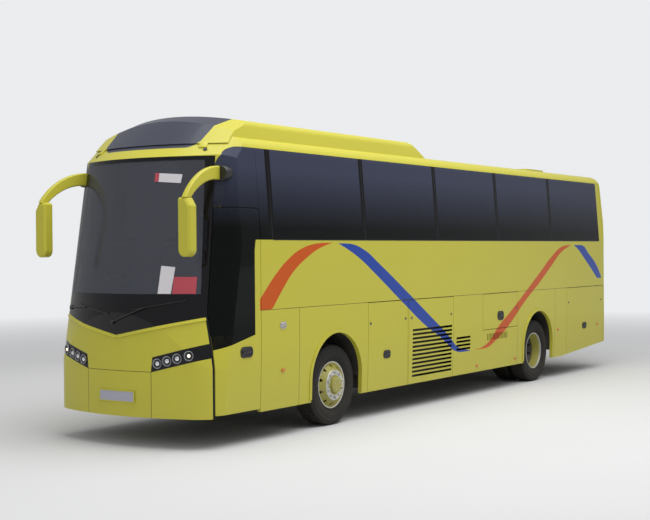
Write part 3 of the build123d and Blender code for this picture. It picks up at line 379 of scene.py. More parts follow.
# %% Other finishes
def glass(name, glass_colour, rough, clear, specular):
    """Glass that lets some light straight through; the rest shows its colour, which on the windscreen is a painted
    reflection.
    """
    material = finish(name, glass_colour, rough, coat=0.0, vary=0.1, relief=0.004, size=0.3, specular=specular)
    shader_of(material).inputs["Alpha"].default_value = 1 - clear
    return material


# The side glass is black over each pillar and bluish above, a painted reflection of the sky
side_tint_and_sky = glass("tinted_side_glass_painted_sky", (0.004, 0.005, 0.005), 0.04, 0.10, 0.10)
tree, axes = side_tint_and_sky.node_tree, axes_of(side_tint_and_sky)
high = put(tree, "MapRange", {"Value": axes["Z"], "From Min": 2.50, "From Max": 3.20}).outputs["Result"]
recolour(side_tint_and_sky, high, (0.042, 0.048, 0.080))
ahead = calc(tree, "SUBTRACT", axes["X"], FRONT_X)
for pillar in PILLARS:
    recolour(side_tint_and_sky, strip(tree, ahead, pillar, axes["Z"], 2.3, 3.5, 0.05), BLACK)

# The windscreen is clear inside its printed black border, and its grey is a painted reflection of the sky
SCREEN_CLEAR = 0.40
screen_clear = glass("windscreen_glass", (0.085, 0.090, 0.110), 0.03, SCREEN_CLEAR, 0.25)
tree, axes = screen_clear.node_tree, axes_of(screen_clear)
below = calc(tree, "LESS_THAN", axes["Z"], 1.742)
above = calc(tree, "GREATER_THAN", axes["Z"], 3.262)
taper = calc(tree, "MULTIPLY_ADD", axes["Z"], -0.067, 1.116)
beside = calc(tree, "GREATER_THAN", calc(tree, "ABSOLUTE", axes["Y"]), taper)
border = calc(tree, "MAXIMUM", calc(tree, "MAXIMUM", below, above), beside)
recolour(screen_clear, border, BLACK)
solid = calc(tree, "MULTIPLY_ADD", border, SCREEN_CLEAR, 1 - SCREEN_CLEAR)
tree.links.new(solid, shader_of(screen_clear).inputs["Alpha"])
lamp_glass = glass("lamp_glass", (0.30, 0.31, 0.33), 0.02, 0.75, 0.8)
gloss_black = finish("black_gloss", BLACK, 0.09, coat=0.1, relief=0.006, dirt_and_shade=0.02, specular=0.25)
satin_black = finish("satin_black_plastic", (0.014, 0.014, 0.015), 0.42, relief=0.15, dirt_and_shade=0.10)
under_black = finish("underbody_black", (0.010, 0.010, 0.010), 0.7, relief=0.3, vary=0.4, dirt_and_shade=0.5, top=1.2)
chassis_paint = finish("chassis_paint", (0.020, 0.020, 0.021), 0.55, relief=0.3, vary=0.3, dirt_and_shade=0.6, top=1.3)
raw_iron = finish("engine_iron", (0.11, 0.11, 0.105), 0.6, metal=0.6, relief=0.5, vary=0.4, dirt_and_shade=0.5, top=1.3)
core_alloy = finish("radiator_alloy", (0.10, 0.10, 0.10), 0.5, metal=0.8, relief=0.3)
bright_steel = finish("bright_steel", (0.62, 0.61, 0.58), 0.25, metal=1.0, relief=0.08, vary=0.15)
lock_zinc = finish("lock_zinc", (0.16, 0.155, 0.14), 0.45, metal=0.6, relief=0.1)
chrome = finish("lamp_chrome", (0.82, 0.83, 0.85), 0.08, metal=1.0, relief=0.0)
red_lens = finish("red_lamp_lens", (0.35, 0.010, 0.008), 0.12, coat=0.5, relief=0.05)
amber_lens = finish("amber_lamp_lens", (0.62, 0.16, 0.008), 0.15, coat=0.5, relief=0.05)
plate_grey = finish("blank_plate", (0.36, 0.36, 0.42), 0.35, relief=0.04, vary=0.06)
floor_grey = finish("saloon_floor_vinyl", (0.09, 0.095, 0.10), 0.55, relief=0.25, size=0.006, vary=0.3)
rack_grey = finish("rack_trim", (0.17, 0.17, 0.18), 0.6, relief=0.25, size=0.005)
dash_grey = finish("dashboard_plastic", (0.030, 0.031, 0.034), 0.5, relief=0.3, size=0.003)
shell_grey = finish("seat_shell_plastic", (0.055, 0.056, 0.06), 0.5, relief=0.25, size=0.003)
seal_rubber = finish("seal_rubber", (0.010, 0.010, 0.010), 0.6, relief=0.2)
tyre_rubber = finish("tyre_rubber", (0.012, 0.012, 0.012), 0.75, relief=0.25, size=0.002, vary=0.3, dirt_and_shade=0.16,
                     top=1.1, specular=0.3)
reflector = finish("lamp_reflector", (0.05, 0.053, 0.058), 0.18, metal=0.9, relief=0.10, size=0.006, vary=0.3)
paper_white = finish("paper_white", (0.62, 0.60, 0.62), 0.7, relief=0.05)
card_red = finish("blank_red_card", (0.42, 0.055, 0.075), 0.6, relief=0.05)
mirror_silver = finish("mirror_glass", (0.75, 0.77, 0.80), 0.02, metal=1.0, relief=0.0)
print("materials", len(bpy.data.materials))

# %% [markdown]
# ## Seat cloth
# Coach seats wear a hard moquette, a short pile with a small woven figure. Two crossed waves make the
# weave, and a coarser one scatters a second blue over the first, as a plain generic pattern does.

# %% Moquette
weave, gi, go = new_group("moquette weave", [("Vector", "Vector", None), ("Pitch", "Float", 0.003)],
                          [("Thread", "Float"), ("Figure", "Float")])
threads = [put(weave, "TexWave", {"Vector": gi["Vector"], "Scale": calc(weave, "DIVIDE", 0.314, gi["Pitch"])},
               bands_direction=way).outputs["Fac"] for way in "XZ"]
weave.links.new(calc(weave, "MULTIPLY", *threads), go["Thread"])
spots = put(weave, "TexVoronoi", {"Vector": gi["Vector"], "Scale": 28.0}).outputs["Distance"]
weave.links.new(calc(weave, "LESS_THAN", spots, 0.32), go["Figure"])

seat_cloth = finish("seat_cloth", (0.030, 0.055, 0.16), 0.9, vary=0.25, relief=0.1)
tree = seat_cloth.node_tree
woven = use(tree, weave, Vector=place_of(seat_cloth), Pitch=0.003)
recolour(seat_cloth, calc(tree, "MULTIPLY", woven["Figure"], 0.6), (0.10, 0.13, 0.26))
pile = put(tree, "Bump", {"Strength": 0.5, "Distance": 0.001, "Height": woven["Thread"]})
tree.links.new(pile.outputs["Normal"], shader_of(seat_cloth).inputs["Normal"])
shader_of(seat_cloth).inputs["Sheen Weight"].default_value = 0.3
print("cloth", seat_cloth.name)

# %% [markdown]
# ## Wheels in two tones
# The steel discs are painted the body's yellow, and the rim edge and the nut ring are left bright.
# One material does both, because the parts differ only in their distance from the wheel's axis.

# %% Wheel paint
def wheel_finish(name, axle_x, ring_inner, ring_outer, dish):
    """Yellow disc with a bright rim edge and nut ring; dish is the radius inside which it is in shadow."""
    material = finish(name, (0.44, 0.41, 0.06), 0.4, vary=0.3, relief=0.15, dirt_and_shade=0.6, top=1.3)
    tree = material.node_tree
    off = put(tree, "VectorMath", {0: place_of(material), 1: (axle_x, 0, WHEEL_Z)}, operation="SUBTRACT").outputs[0]
    flat = put(tree, "VectorMath", {0: off, 1: (1, 0, 1)}, operation="MULTIPLY").outputs[0]
    radius = put(tree, "VectorMath", {0: flat}, operation="LENGTH").outputs[1]
    rim_edge = calc(tree, "GREATER_THAN", radius, RIM_R - 0.016)
    ring = all_of(tree, calc(tree, "GREATER_THAN", radius, ring_inner), calc(tree, "LESS_THAN", radius, ring_outer))
    if dish:
        recolour(material, calc(tree, "LESS_THAN", radius, dish), (0.035, 0.034, 0.03))
    bright = calc(tree, "MAXIMUM", rim_edge, ring)
    recolour(material, bright, (0.60, 0.60, 0.56))
    tree.links.new(calc(tree, "MULTIPLY", bright, 0.9), shader_of(material).inputs["Metallic"])
    return material


front_wheel_paint = wheel_finish("front_wheel_paint", FRONT_X, 0.125, 0.195, 0)
rear_wheel_paint = wheel_finish("rear_wheel_paint", REAR_X, 0.125, 0.19, 0.262)
print("wheel radius", round(WHEEL_R, 3))

# %% [markdown]
# ## Finishes onto the CAD pieces
# A CAD piece keeps its shape and takes the finish of the real one. A table gives each material the
# pieces that wear it, and what is left over is body paint.

# %% Assign the finishes
WEARS = {
    gloss_black: ["screen_frame", "headlamp_units"],
    side_tint_and_sky: ["side_glass", "entrance_door_glass", "emergency_door_glass", "rear_window"],
    plain_paint: ["mirror_arms", "mirror_heads", "roof_hatch"],
    door_paint: ["entrance_door"],
    screen_clear: ["windscreen"],
    chassis_paint: ["chassis_frame", "bay_plates", "front_axle", "rear_axle", "knuckle_left", "knuckle_right",
                    "tanks"],
    under_black: ["arch_liners"],
    raw_iron: ["engine_block"],
    core_alloy: ["radiator_core"],
    satin_black: ["steering_wheel", "door_arm"],
    dash_grey: ["dashboard"],
    floor_grey: ["saloon_floor"],
    rack_grey: ["luggage_racks"],
    red_lens: ["tail_lamps"],
    plate_grey: ["number_plates"],
    reflector: ["headlamp_lenses"],
    tyre_rubber: ["tyre_front_left", "tyre_front_right", "tyres_rear_left", "tyres_rear_right"],
    seat_cloth: ["driver_seat", "passenger_seats"],
    nose_paint: ["nose_panel", "front_bumper"],
    roof_paint: ["front_dome", "roof_pod"],
    front_wheel_paint: ["rim_front_left", "rim_front_right"],
    rear_wheel_paint: ["rims_rear_left", "rims_rear_right"],
}


def dress(name, material):
    mesh = bpy.data.objects[name].data
    mesh.materials.clear()
    mesh.materials.append(material)


for material, names in WEARS.items():
    for name in names:
        dress(name, material)
dressed = {name for names in WEARS.values() for name in names}
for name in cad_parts:
    if name not in dressed:
        dress(name, paint)
print("dressed", len(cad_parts))

# %% [markdown]
# ## Tools of the workshop
# New pieces start from a primitive that is put down at its size and place. They are shaped in edit
# mode, where faces are picked by their place or normal, and their edges are rounded with a Bevel
# modifier. Whatever repeats is modelled once and copied.

# %% Hold, edit and pick
def hold(obj):
    bpy.ops.object.select_all(action="DESELECT")
    obj.select_set(True)
    bpy.context.view_layer.objects.active = obj


def edit(obj, kind="FACE", action="DESELECT"):
    hold(obj)
    bpy.ops.object.mode_set(mode="EDIT")
    bpy.ops.mesh.select_mode(type=kind)
    bpy.ops.mesh.select_all(action=action)


def pick(obj, test):
    """Select the faces whose middle and normal pass a test."""
    mesh = bmesh.from_edit_mesh(obj.data)
    for face in mesh.faces:
        face.select_set(bool(test(face.calc_center_median(), face.normal)))
    bmesh.update_edit_mesh(obj.data)


def leave():
    bpy.ops.object.mode_set(mode="OBJECT")


def stepped(obj, *steps, way=1):
    """Inset the upper faces (lower ones with way=-1) and move them, once for each (thickness, rise)."""
    edit(obj)
    pick(obj, lambda c, n: n.z * way > 0.9)
    for thickness, rise in steps:
        bpy.ops.mesh.inset(thickness=thickness)
        bpy.ops.mesh.extrude_region_move(TRANSFORM_OT_translate={"value": (0, 0, rise)})
    leave()


def tidy(obj):
    """Merge doubled corners and turn all faces outwards."""
    edit(obj, action="SELECT")
    bpy.ops.mesh.remove_doubles(threshold=0.00005)
    bpy.ops.mesh.normals_make_consistent(inside=False)
    leave()


# %% Primitives and rounding
def named(name):
    obj = bpy.context.active_object
    obj.name = name
    bpy.ops.object.transform_apply(location=True, rotation=True, scale=True)
    return obj


def block(name, low, high):
    """A block between two corners."""
    bpy.ops.object.select_all(action="DESELECT")
    low, high = Vector(low), Vector(high)
    bpy.ops.mesh.primitive_cube_add(size=1, location=(low + high) / 2, scale=high - low)
    return named(name)


def drum(name, middle, axis, radius, depth, corners=32):
    """A round bar; axis is the way that its length runs."""
    bpy.ops.object.select_all(action="DESELECT")
    lie = Vector(axis).to_track_quat("Z", "Y").to_euler()
    bpy.ops.mesh.primitive_cylinder_add(vertices=corners, radius=radius, depth=depth, location=middle, rotation=lie)
    return named(name)


def applied(obj, kind, **settings):
    """Add a modifier and apply it."""
    hold(obj)
    modifier = obj.modifiers.new(kind.lower(), kind)
    for key, value in settings.items():
        setattr(modifier, key, value)
    bpy.ops.object.modifier_apply(modifier=modifier.name)
    return obj


def smooth(obj, angle=40):
    hold(obj)
    bpy.ops.object.shade_smooth_by_angle(angle=radians(angle))
    return obj


def soften(obj, width, segments=2):
    applied(obj, "BEVEL", width=width, segments=segments, limit_method="ANGLE", angle_limit=radians(35))
    return smooth(obj)


# %% Copies, places and riders
def moved(obj, matrix):
    """Move the corners of a piece; the object itself stays at the origin."""
    obj.data.transform(matrix)
    if matrix.determinant() < 0:
        obj.data.flip_normals()
    return obj


def copied(obj, matrix=Matrix(), name=None):
    twin = obj.copy()
    twin.data = obj.data.copy()
    twin.name = name or obj.name
    bpy.context.collection.objects.link(twin)
    return moved(twin, matrix)


def joined(name, pieces):
    bpy.ops.object.select_all(action="DESELECT")
    for piece in pieces:
        piece.select_set(True)
    bpy.context.view_layer.objects.active = pieces[0]
    if len(pieces) > 1:
        bpy.ops.object.join()
    pieces[0].name = name
    return pieces[0]


def finished(obj, material, body="coach_body"):
    """Give a piece its finish and the body that it rides on."""
    obj.data.materials.clear()
    obj.data.materials.append(material)
    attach(obj, body)
    return obj


def discard(*spares):
    for spare in spares:
        bpy.data.objects.remove(spare)


def stand(place, x, y, z):
    """The matrix that lays a piece's three axes along three directions at a place."""
    return Matrix.Translation(place) @ Matrix((x, y, z)).transposed().to_4x4()


def facing(place, normal, up=(0, 0, 1)):
    """Stands a piece modelled flat at the origin on a surface: X to the right, Y up, Z outwards."""
    z = Vector(normal).normalized()
    x = Vector(up).cross(z).normalized()
    return stand(place, x, z.cross(x), z)


def skin(node, start, way):
    """Where a line from a point first meets a CAD piece, and the surface's normal there."""
    hit, place, normal, _ = bpy.data.objects[node].ray_cast(Vector(start), Vector(way))
    if not hit:
        raise ValueError("nothing of %s in the way from %s" % (node, tuple(start)))
    return place, normal


def skin_ahead(node, y, z):
    return skin(node, (FRONT_X + 4.0, y, z), (-1, 0, 0))


def skin_behind(node, y, z):
    return skin(node, (-8.0, y, z), (1, 0, 0))


def skin_beside(node, ahead, z, s):
    """The skin of the left (s = 1) or right flank, so many metres ahead of the front axle."""
    return skin(node, (FRONT_X + ahead, s * 2.0, z), (0, -s, 0))


def tangent(way, normal):
    """A direction brought into the plane of a surface."""
    way = Vector(way).normalized()
    return (way - normal * way.dot(normal)).normalized()


MIRROR_Y = Matrix.Diagonal((1, -1, 1, 1))
print("workshop ready")

# %% [markdown]
# ## Sections and swept forms
# A tyre is a section turned about the axle, and a trim strip is a section drawn along a line. Both
# start from a circle with as many corners as the section, each moved to its place. The strip is then
# extruded from station to station.

# %% Sections and swept forms
def section_face(name, corners, fill):
    bpy.ops.object.select_all(action="DESELECT")
    bpy.ops.mesh.primitive_circle_add(vertices=len(corners), radius=1, fill_type=fill)
    obj = named(name)
    for vertex, corner in zip(obj.data.vertices, corners):
        vertex.co = corner
    return obj


def swept(name, section, stations):
    """A section in the X-Y plane of each station, drawn from the first station to the last."""
    obj = section_face(name, [stations[0] @ Vector((*corner, 0)) for corner in section], "NGON")
    edit(obj, action="SELECT")
    for before, after in zip(stations, stations[1:]):
        bpy.ops.mesh.extrude_region_move()
        mesh = bmesh.from_edit_mesh(obj.data)
        ends = [v for v in mesh.verts if v.select]
        bmesh.ops.transform(mesh, matrix=after @ before.inverted(), verts=ends)
        bmesh.update_edit_mesh(obj.data)
    leave()
    tidy(obj)
    return obj

# %% [markdown]
# ## Tyres
# A coach tyre has ribs round its tread, cut by short sideways grooves at the shoulders, and a side
# wall with a bead ring, a protector rib and a shallow step. The section is turned about the axle in
# sixty sectors, a wide face and a narrow one each, and the narrow shoulder faces are sunk.

# %% A tyre from its section
HALF_SIDE = [(0.2985, 0.097), (0.303, 0.105), (0.313, 0.110), (0.321, 0.117), (0.333, 0.119), (0.338, 0.126),
             (0.365, 0.139), (0.392, 0.1445), (0.412, 0.1450), (0.418, 0.1425), (0.446, 0.1405), (0.451, 0.1425),
             (0.458, 0.1425), (0.463, 0.1365), (0.486, 0.130), (0.499, 0.122), (0.507, 0.112), (0.510, 0.104)]
RIBS = [(0.510, 0.072), (0.500, 0.070), (0.500, 0.062), (0.510, 0.060), (0.510, 0.028), (0.500, 0.026),
        (0.500, 0.018), (0.510, 0.016)]
SECTION = HALF_SIDE + RIBS + [(r, -a) for r, a in reversed(HALF_SIDE + RIBS)]
SECTORS, GROOVE_DEPTH = 60, 0.008
WIDE, NARROW = 0.8, 0.2


def tyre(name, x, y):
    middle = (x, y, WHEEL_Z)
    obj = section_face(name, [(x, y + a, WHEEL_Z + r) for r, a in SECTION], "NOTHING")
    edit(obj, "EDGE", "SELECT")
    for share in (WIDE, NARROW):
        bpy.ops.mesh.spin(steps=1, angle=2 * pi / SECTORS * share, center=middle, axis=(0, 1, 0))
    leave()
    edit(obj)
    for s in (1, -1):
        def shoulder(c, n):
            turn = atan2(c.x - x, c.z - WHEEL_Z) % (2 * pi)
            late = min(turn, 2 * pi - turn) > 2 * pi / SECTORS * WIDE
            radius = sqrt((c.x - x) ** 2 + (c.z - WHEEL_Z) ** 2)
            return late and radius > 0.500 and 0.072 < s * (c.y - y) < 0.121
        pick(obj, shoulder)
        bpy.ops.mesh.extrude_region_shrink_fatten(TRANSFORM_OT_shrink_fatten={"value": 0.0})
        mesh = bmesh.from_edit_mesh(obj.data)
        for vertex in mesh.verts:
            if vertex.select:
                away = Vector((vertex.co.x - x, 0, vertex.co.z - WHEEL_Z)).normalized()
                vertex.co -= away * GROOVE_DEPTH
        bmesh.update_edit_mesh(obj.data)
    bpy.ops.mesh.select_all(action="SELECT")
    rest = SECTORS - 1
    bpy.ops.mesh.spin(steps=rest, angle=2 * pi * rest / SECTORS, center=middle, axis=(0, 1, 0), dupli=True)
    leave()
    tidy(obj)
    return smooth(obj, 35)


TWIN_GAP = 0.33
front_tyre = tyre("tyre_dressed_front_left", FRONT_X, 1.035)
twins = [copied(front_tyre, Matrix.Translation((REAR_X - FRONT_X, y, 0))) for y in (0, -TWIN_GAP)]
rear_tyres = joined("tyres_dressed_rear_left", twins)
TYRES = [(front_tyre, "tyre_front_left", "wheel_front_left"),
         (copied(front_tyre, MIRROR_Y, "tyre_dressed_front_right"), "tyre_front_right", "wheel_front_right"),
         (rear_tyres, "tyres_rear_left", "wheels_rear_left"),
         (copied(rear_tyres, MIRROR_Y, "tyres_dressed_rear_right"), "tyres_rear_right", "wheels_rear_right")]
for obj, node, body in TYRES:
    finished(obj, tyre_rubber, body)
    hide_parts(node)
print("tyre faces", len(front_tyre.data.polygons))

# %% [markdown]
# ## Nuts and hubs
# Ten hexagon nuts hold each wheel. One nut is a six-cornered drum with a washer face and a stud end,
# and its copies stand round the axle. The front hub gets its ring of small cap bolts.

# %% Nuts and hub bolts
def nut(name, across, tall, stud):
    obj = drum(name, (0, 0, tall / 2), (0, 0, 1), across / 2, tall, 6)
    stepped(obj, (across * 0.18, stud))
    return soften(obj, 0.0012, 1)


def ring_of(obj, count, radius, x, y, s):
    """Copies round an axle, standing on the plane y and facing side s."""
    axle = Matrix.Translation((x, s * y, WHEEL_Z)) @ Matrix.Rotation(-s * pi / 2, 4, "X")
    turns = [Matrix.Rotation(2 * pi * (k + 0.5) / count, 4, "Z") for k in range(count)]
    return [copied(obj, axle @ (turn @ Matrix.Translation((radius, 0, 0)))) for turn in turns]


wheel_nut = nut("wheel_nut", 0.034, 0.018, 0.010)
cap_bolt = nut("cap_bolt", 0.014, 0.006, 0.002)
for tag, s in (("left", 1), ("right", -1)):
    for end, body, x, nut_y, bolt_ring, bolt_y in (("front_", "wheel_front_", FRONT_X, 1.200, 0.064, 1.242),
                                                   ("rear_", "wheels_rear_", REAR_X, 0.886, 0.055, 0.945)):
        nuts = ring_of(wheel_nut, 10, 0.160, x, nut_y, s) + ring_of(cap_bolt, 8, bolt_ring, x, bolt_y, s)
        finished(joined("wheel_nuts_" + end + tag, nuts), bright_steel, body + tag)
discard(wheel_nut, cap_bolt)
print("nuts and bolts on each wheel", 10 + 8)

# %% [markdown]
# ## The ledge under the windscreen
# Where the black glass ends in a V, the nose panel has a bright chamfer that faces the sky. It is a
# strip with a slanting top, and it follows the bow of the nose, so its stations are found on the
# CAD surface itself.

# %% V ledge
LEDGE = [(-0.001, 0.0), (0.001, 0.0), (0.017, 0.030), (0.010, 0.036), (-0.001, 0.040)]
V_FOOT, V_SLOPE = 1.272, 0.258 / 1.30


def ledge_stations(s):
    stations = []
    for k in range(13):
        y = s * 1.07 * k / 12
        place, normal = skin_ahead("nose_panel", y, V_FOOT + V_SLOPE * abs(y) - 0.004)
        down = tangent((0, s, V_SLOPE), normal).cross(normal)
        if down.z > 0:
            down = -down
        stations.append(stand(place, normal, down, normal.cross(down)))
    return stations


ledge = joined("screen_ledge", [swept("ledge", LEDGE, ledge_stations(s)) for s in (1, -1)])
finished(ledge, plain_paint)
print("ledge faces", len(ledge.data.polygons))

# %% [markdown]
# ## Headlamps
# Each band holds four round lamps. A lamp is a bright bezel round the opening and a projector dome in
# its middle, over the CAD lens that serves as the reflector. The outermost one is lit.

# %% Lamp bezels and projectors
lit_glow = finish("lit_lamp", (0.9, 0.85, 0.7), 0.3, relief=0.0)
shader_of(lit_glow).inputs["Emission Color"].default_value = (1.0, 0.84, 0.60, 1)
shader_of(lit_glow).inputs["Emission Strength"].default_value = 1.6

bezel_grey = finish("bezel_grey", (0.42, 0.42, 0.44), 0.22, metal=0.9, relief=0.03)
bezel = drum("bezel", (0, 0, 0.002), (0, 0, 1), 0.057, 0.016, 40)
edit(bezel)
pick(bezel, lambda c, n: n.z > 0.9)
bpy.ops.mesh.inset(thickness=0.005)
bpy.ops.mesh.extrude_region_move(TRANSFORM_OT_translate={"value": (0, 0, -0.009)})
bpy.ops.mesh.inset(thickness=0.004)
bpy.ops.mesh.delete(type="FACE")
leave()
soften(bezel, 0.0018, 2)

bpy.ops.object.select_all(action="DESELECT")
bpy.ops.mesh.primitive_uv_sphere_add(segments=28, ring_count=14, radius=0.030)
projector = named("projector")
edit(projector, action="SELECT")
bpy.ops.mesh.bisect(plane_co=(0, 0, 0.004), plane_no=(0, 0, 1), clear_inner=True, use_fill=True)
leave()
moved(projector, Matrix.Diagonal((1, 1, 0.45, 1)))
smooth(projector)

LAMP_ROW, LIT_Y = (0.575, 0.695, 0.815, 0.950), 0.950
bezels, domes, lit = [], [], []
for s in (1, -1):
    for y in LAMP_ROW:
        spot = facing(*skin_ahead("headlamp_lenses", s * y, 0.944 + 0.25 * (y - 0.49)))
        bezels.append(copied(bezel, spot))
        group, size = (lit, 0.62) if y == LIT_Y else (domes, 0.9)
        group.append(copied(projector, spot @ Matrix.Diagonal((size, size, size, 1))))
finished(joined("headlamp_bezels", bezels), bezel_grey)
finished(joined("headlamp_projectors", domes), chrome)
finished(joined("headlamp_lit", lit), lit_glow)
discard(bezel, projector)
print("headlamps", len(LAMP_ROW) * 2)

# %% [markdown]
# ## Small fittings of the sides
# Marker lamps, locks, latches, the filler cap and the door handle are pressed or moulded pieces a few
# centimetres across. Each is modelled flat at the origin, facing up, and then stood on the panel
# where the photograph shows it. A fitting on a door rides on that door.

# %% Marker lamps, locks and caps
def marker(name):
    obj = block(name, (-0.034, -0.016, -0.002), (0.034, 0.016, 0.011))
    stepped(obj, (0.006, 0.004))
    return soften(obj, 0.004, 3)


def round_cap(name, radius, proud, sunk=0.0):
    """A round cap with a rolled rim; sunk is how deep its middle lies."""
    obj = drum(name, (0, 0, proud / 2 - 0.001), (0, 0, 1), radius, proud + 0.002, 40)
    stepped(obj, (radius * 0.16, -sunk), (radius * 0.45, sunk * 0.7 + 0.002))
    return soften(obj, radius * 0.05, 2)


def pull(name, width, height):
    """A dark handle: a rounded plate with a hollow and a grip bar over it."""
    plate = block(name, (-width / 2, -height / 2, -0.002), (width / 2, height / 2, 0.007))
    edit(plate, "EDGE")
    mesh = bmesh.from_edit_mesh(plate.data)
    for edge in mesh.edges:
        run = edge.verts[0].co - edge.verts[1].co
        edge.select_set(abs(run.z) > 0.008 and abs(run.x) + abs(run.y) < 0.001)
    bmesh.update_edit_mesh(plate.data)
    bpy.ops.mesh.bevel(offset=height * 0.42, segments=6)
    leave()
    stepped(plate, (height * 0.14, -0.006))
    grip = block("grip", (-width * 0.36, -height * 0.10, 0.002), (width * 0.36, height * 0.12, 0.011))
    soften(grip, 0.003, 2)
    return joined(name, [soften(plate, 0.0015, 2), grip])


MARKER, LATCH = marker("marker"), round_cap("latch", 0.019, 0.005, 0.002)
LOCK, CAP = pull("lock", 0.130, 0.085), pull("cap", 0.220, 0.145)
HANDLE, PULL, OVAL = pull("handle", 0.230, 0.125), pull("door_pull", 0.180, 0.110), pull("oval", 0.190, 0.115)

MARKERS, COURTESY = (MARKER, amber_lens, "red_lens"), (LOCK, bright_steel, "wheel_paint")
LATCHES, DARK = (LATCH, lock_zinc, "wheel_paint"), (satin_black, "dark_plastic")
LATCH_Z, PULL_Z = 1.27, 0.83
# Name, fitting with finish and slot, CAD piece, places (ahead of the axle, height)
FITTINGS = [
    ("markers_left_front", MARKERS, "side_wall_left", [(1.175, 0.80)]),
    ("markers_left_skirt", MARKERS, "side_wall_left", [(-3.86, 0.44), (-5.205, 0.45), (-6.895, 0.82)]),
    ("markers_left_rear", MARKERS, "locker_door_left_rear", [(-8.695, 0.82)]),
    ("courtesy_lamp", COURTESY, "side_wall_left", [(1.175, 1.335)]),
    ("locks_left_front", LATCHES, "locker_door_left_front", [(-0.79, 1.25), (-1.70, LATCH_Z)]),
    ("pull_left_front", (PULL, *DARK), "locker_door_left_front", [(-1.205, 0.815)]),
    ("locks_left_radiator", LATCHES, "radiator_door_left", [(-1.865, LATCH_Z), (-3.02, LATCH_Z)]),
    ("locks_left_hatch", LATCHES, "service_hatch_left", [(-5.22, LATCH_Z)]),
    ("filler_cap", (CAP, *DARK), "service_hatch_left", [(-4.655, 1.17)]),
    ("locks_left_rear", LATCHES, "locker_door_left_rear", [(-7.36, LATCH_Z), (-8.86, LATCH_Z)]),
    ("pull_left_rear", (OVAL, *DARK), "locker_door_left_rear", [(-8.075, PULL_Z)]),
    ("entrance_handle", (HANDLE, *DARK), "entrance_door", [(1.885, 1.065)]),
    ("markers_right", MARKERS, "side_wall_right", [(1.175, 0.80), (-6.895, 0.82)]),
    ("emergency_handle", (HANDLE, *DARK), "emergency_door", [(-5.38, 1.95)]),
]
for door, first, last in (("locker_door_right_front", -0.79, -1.70), ("engine_door_right", -1.865, -3.02),
                          ("locker_door_right_middle", -3.20, -5.22), ("locker_door_right_rear", -7.36, -8.86)):
    FITTINGS.append(("locks_" + door, LATCHES, door, [(first, LATCH_Z), (last, LATCH_Z)]))
    FITTINGS.append(("pull_" + door, (OVAL, *DARK), door, [((first + last) / 2, PULL_Z)]))
for name, (pattern, material, slot), node, places in FITTINGS:
    s = -1 if "right" in node or node == "emergency_door" else 1
    body = "coach_body" if node.startswith("side_wall") else node + "_leaf"
    fittings = [copied(pattern, facing(*skin_beside(node, ahead, z, s))) for ahead, z in places]
    finished(joined(name, fittings), material, body)
print("fittings", len(FITTINGS))

# %% [markdown]
# ## Window joints
# The side panes are bonded edge to edge, and a bead of black sealant fills each joint. The beads lean
# inwards with the flanks, so each is drawn along the glass from its foot to its top. A longer bead
# closes the foot of the whole row of windows.

# %% Sealant beads
BEAD = [(-0.002, -0.007), (0.002, -0.006), (0.003, 0.0), (0.002, 0.006), (-0.002, 0.007)]
beads = []
for s in (1, -1):
    for ahead in PILLARS:
        stations = []
        for z in (2.362, 2.70, 3.05, 3.405):
            # Measured on the glass beside the joint
            place, normal = skin_beside("side_glass", ahead + 0.03, z, s)
            place.x -= 0.03
            stations.append(facing(place, (0, 0, 1), normal) @ Matrix.Rotation(pi / 2, 4, "Z"))
        beads.append(swept("bead", BEAD, stations))
    foot = []
    for ahead in (1.35, -1.0, -4.0, -6.7, -8.75):
        place = skin_beside("side_glass", ahead, 2.36, s)[0]
        place.z = GLASS_FOOT - 0.001
        foot.append(stand(place, (0, s, 0), (0, 0, 1), (1, 0, 0)))
    beads.append(swept("bead", BEAD, foot))
finished(joined("window_beads", beads), gloss_black)
print("beads", len(beads))

# %% [markdown]
# ## Mirrors and wipers
# Each mirror head is a moulded shell with two glasses behind it, a tall one and a wide-angle one below,
# each in a black rim. The arm turns in a black drum at its root. Two wipers park in the black
# foot of the windscreen.

# %% Mirror glasses and roots
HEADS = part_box("mirror_heads")
HEAD_Y, PANE_RIM = 1.112, 0.008


def mirror_pane(name, y, z, width, tall):
    pane = block(name, (-width / 2, -tall / 2, -0.004), (width / 2, tall / 2, 0.006))
    stepped(pane, (PANE_RIM, -0.004))
    soften(pane, 0.004, 2)
    pane.data.materials.append(seal_rubber)
    pane.data.materials.append(mirror_silver)
    for face in pane.data.polygons:
        inside = abs(face.center.x) < width / 2 - PANE_RIM and abs(face.center.y) < tall / 2 - PANE_RIM
        face.material_index = int(inside and face.normal.z > 0.9)
    return moved(pane, facing((HEADS[1][0] - 0.120, y, z), (-1, 0, 0)))


panes = []
for s in (1, -1):
    panes.append(mirror_pane("pane", s * HEAD_Y, 2.545, 0.142, 0.385))
    panes.append(mirror_pane("pane", s * HEAD_Y, 2.262, 0.120, 0.140))
mirror_panes = joined("mirror_glasses", panes)
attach(mirror_panes, "coach_body")

roots = []
for s in (1, -1):
    root = drum("root", (FRONT_X + 2.065, s * 1.085, 3.105), (1, 0, 0), 0.088, 0.13, 32)
    edit(root)
    pick(root, lambda c, n: abs(n.x) > 0.9)
    bpy.ops.mesh.inset(thickness=0.018)
    leave()
    roots.append(soften(root, 0.010, 3))
finished(joined("mirror_roots", roots), satin_black)
print("mirror panes", len(panes))

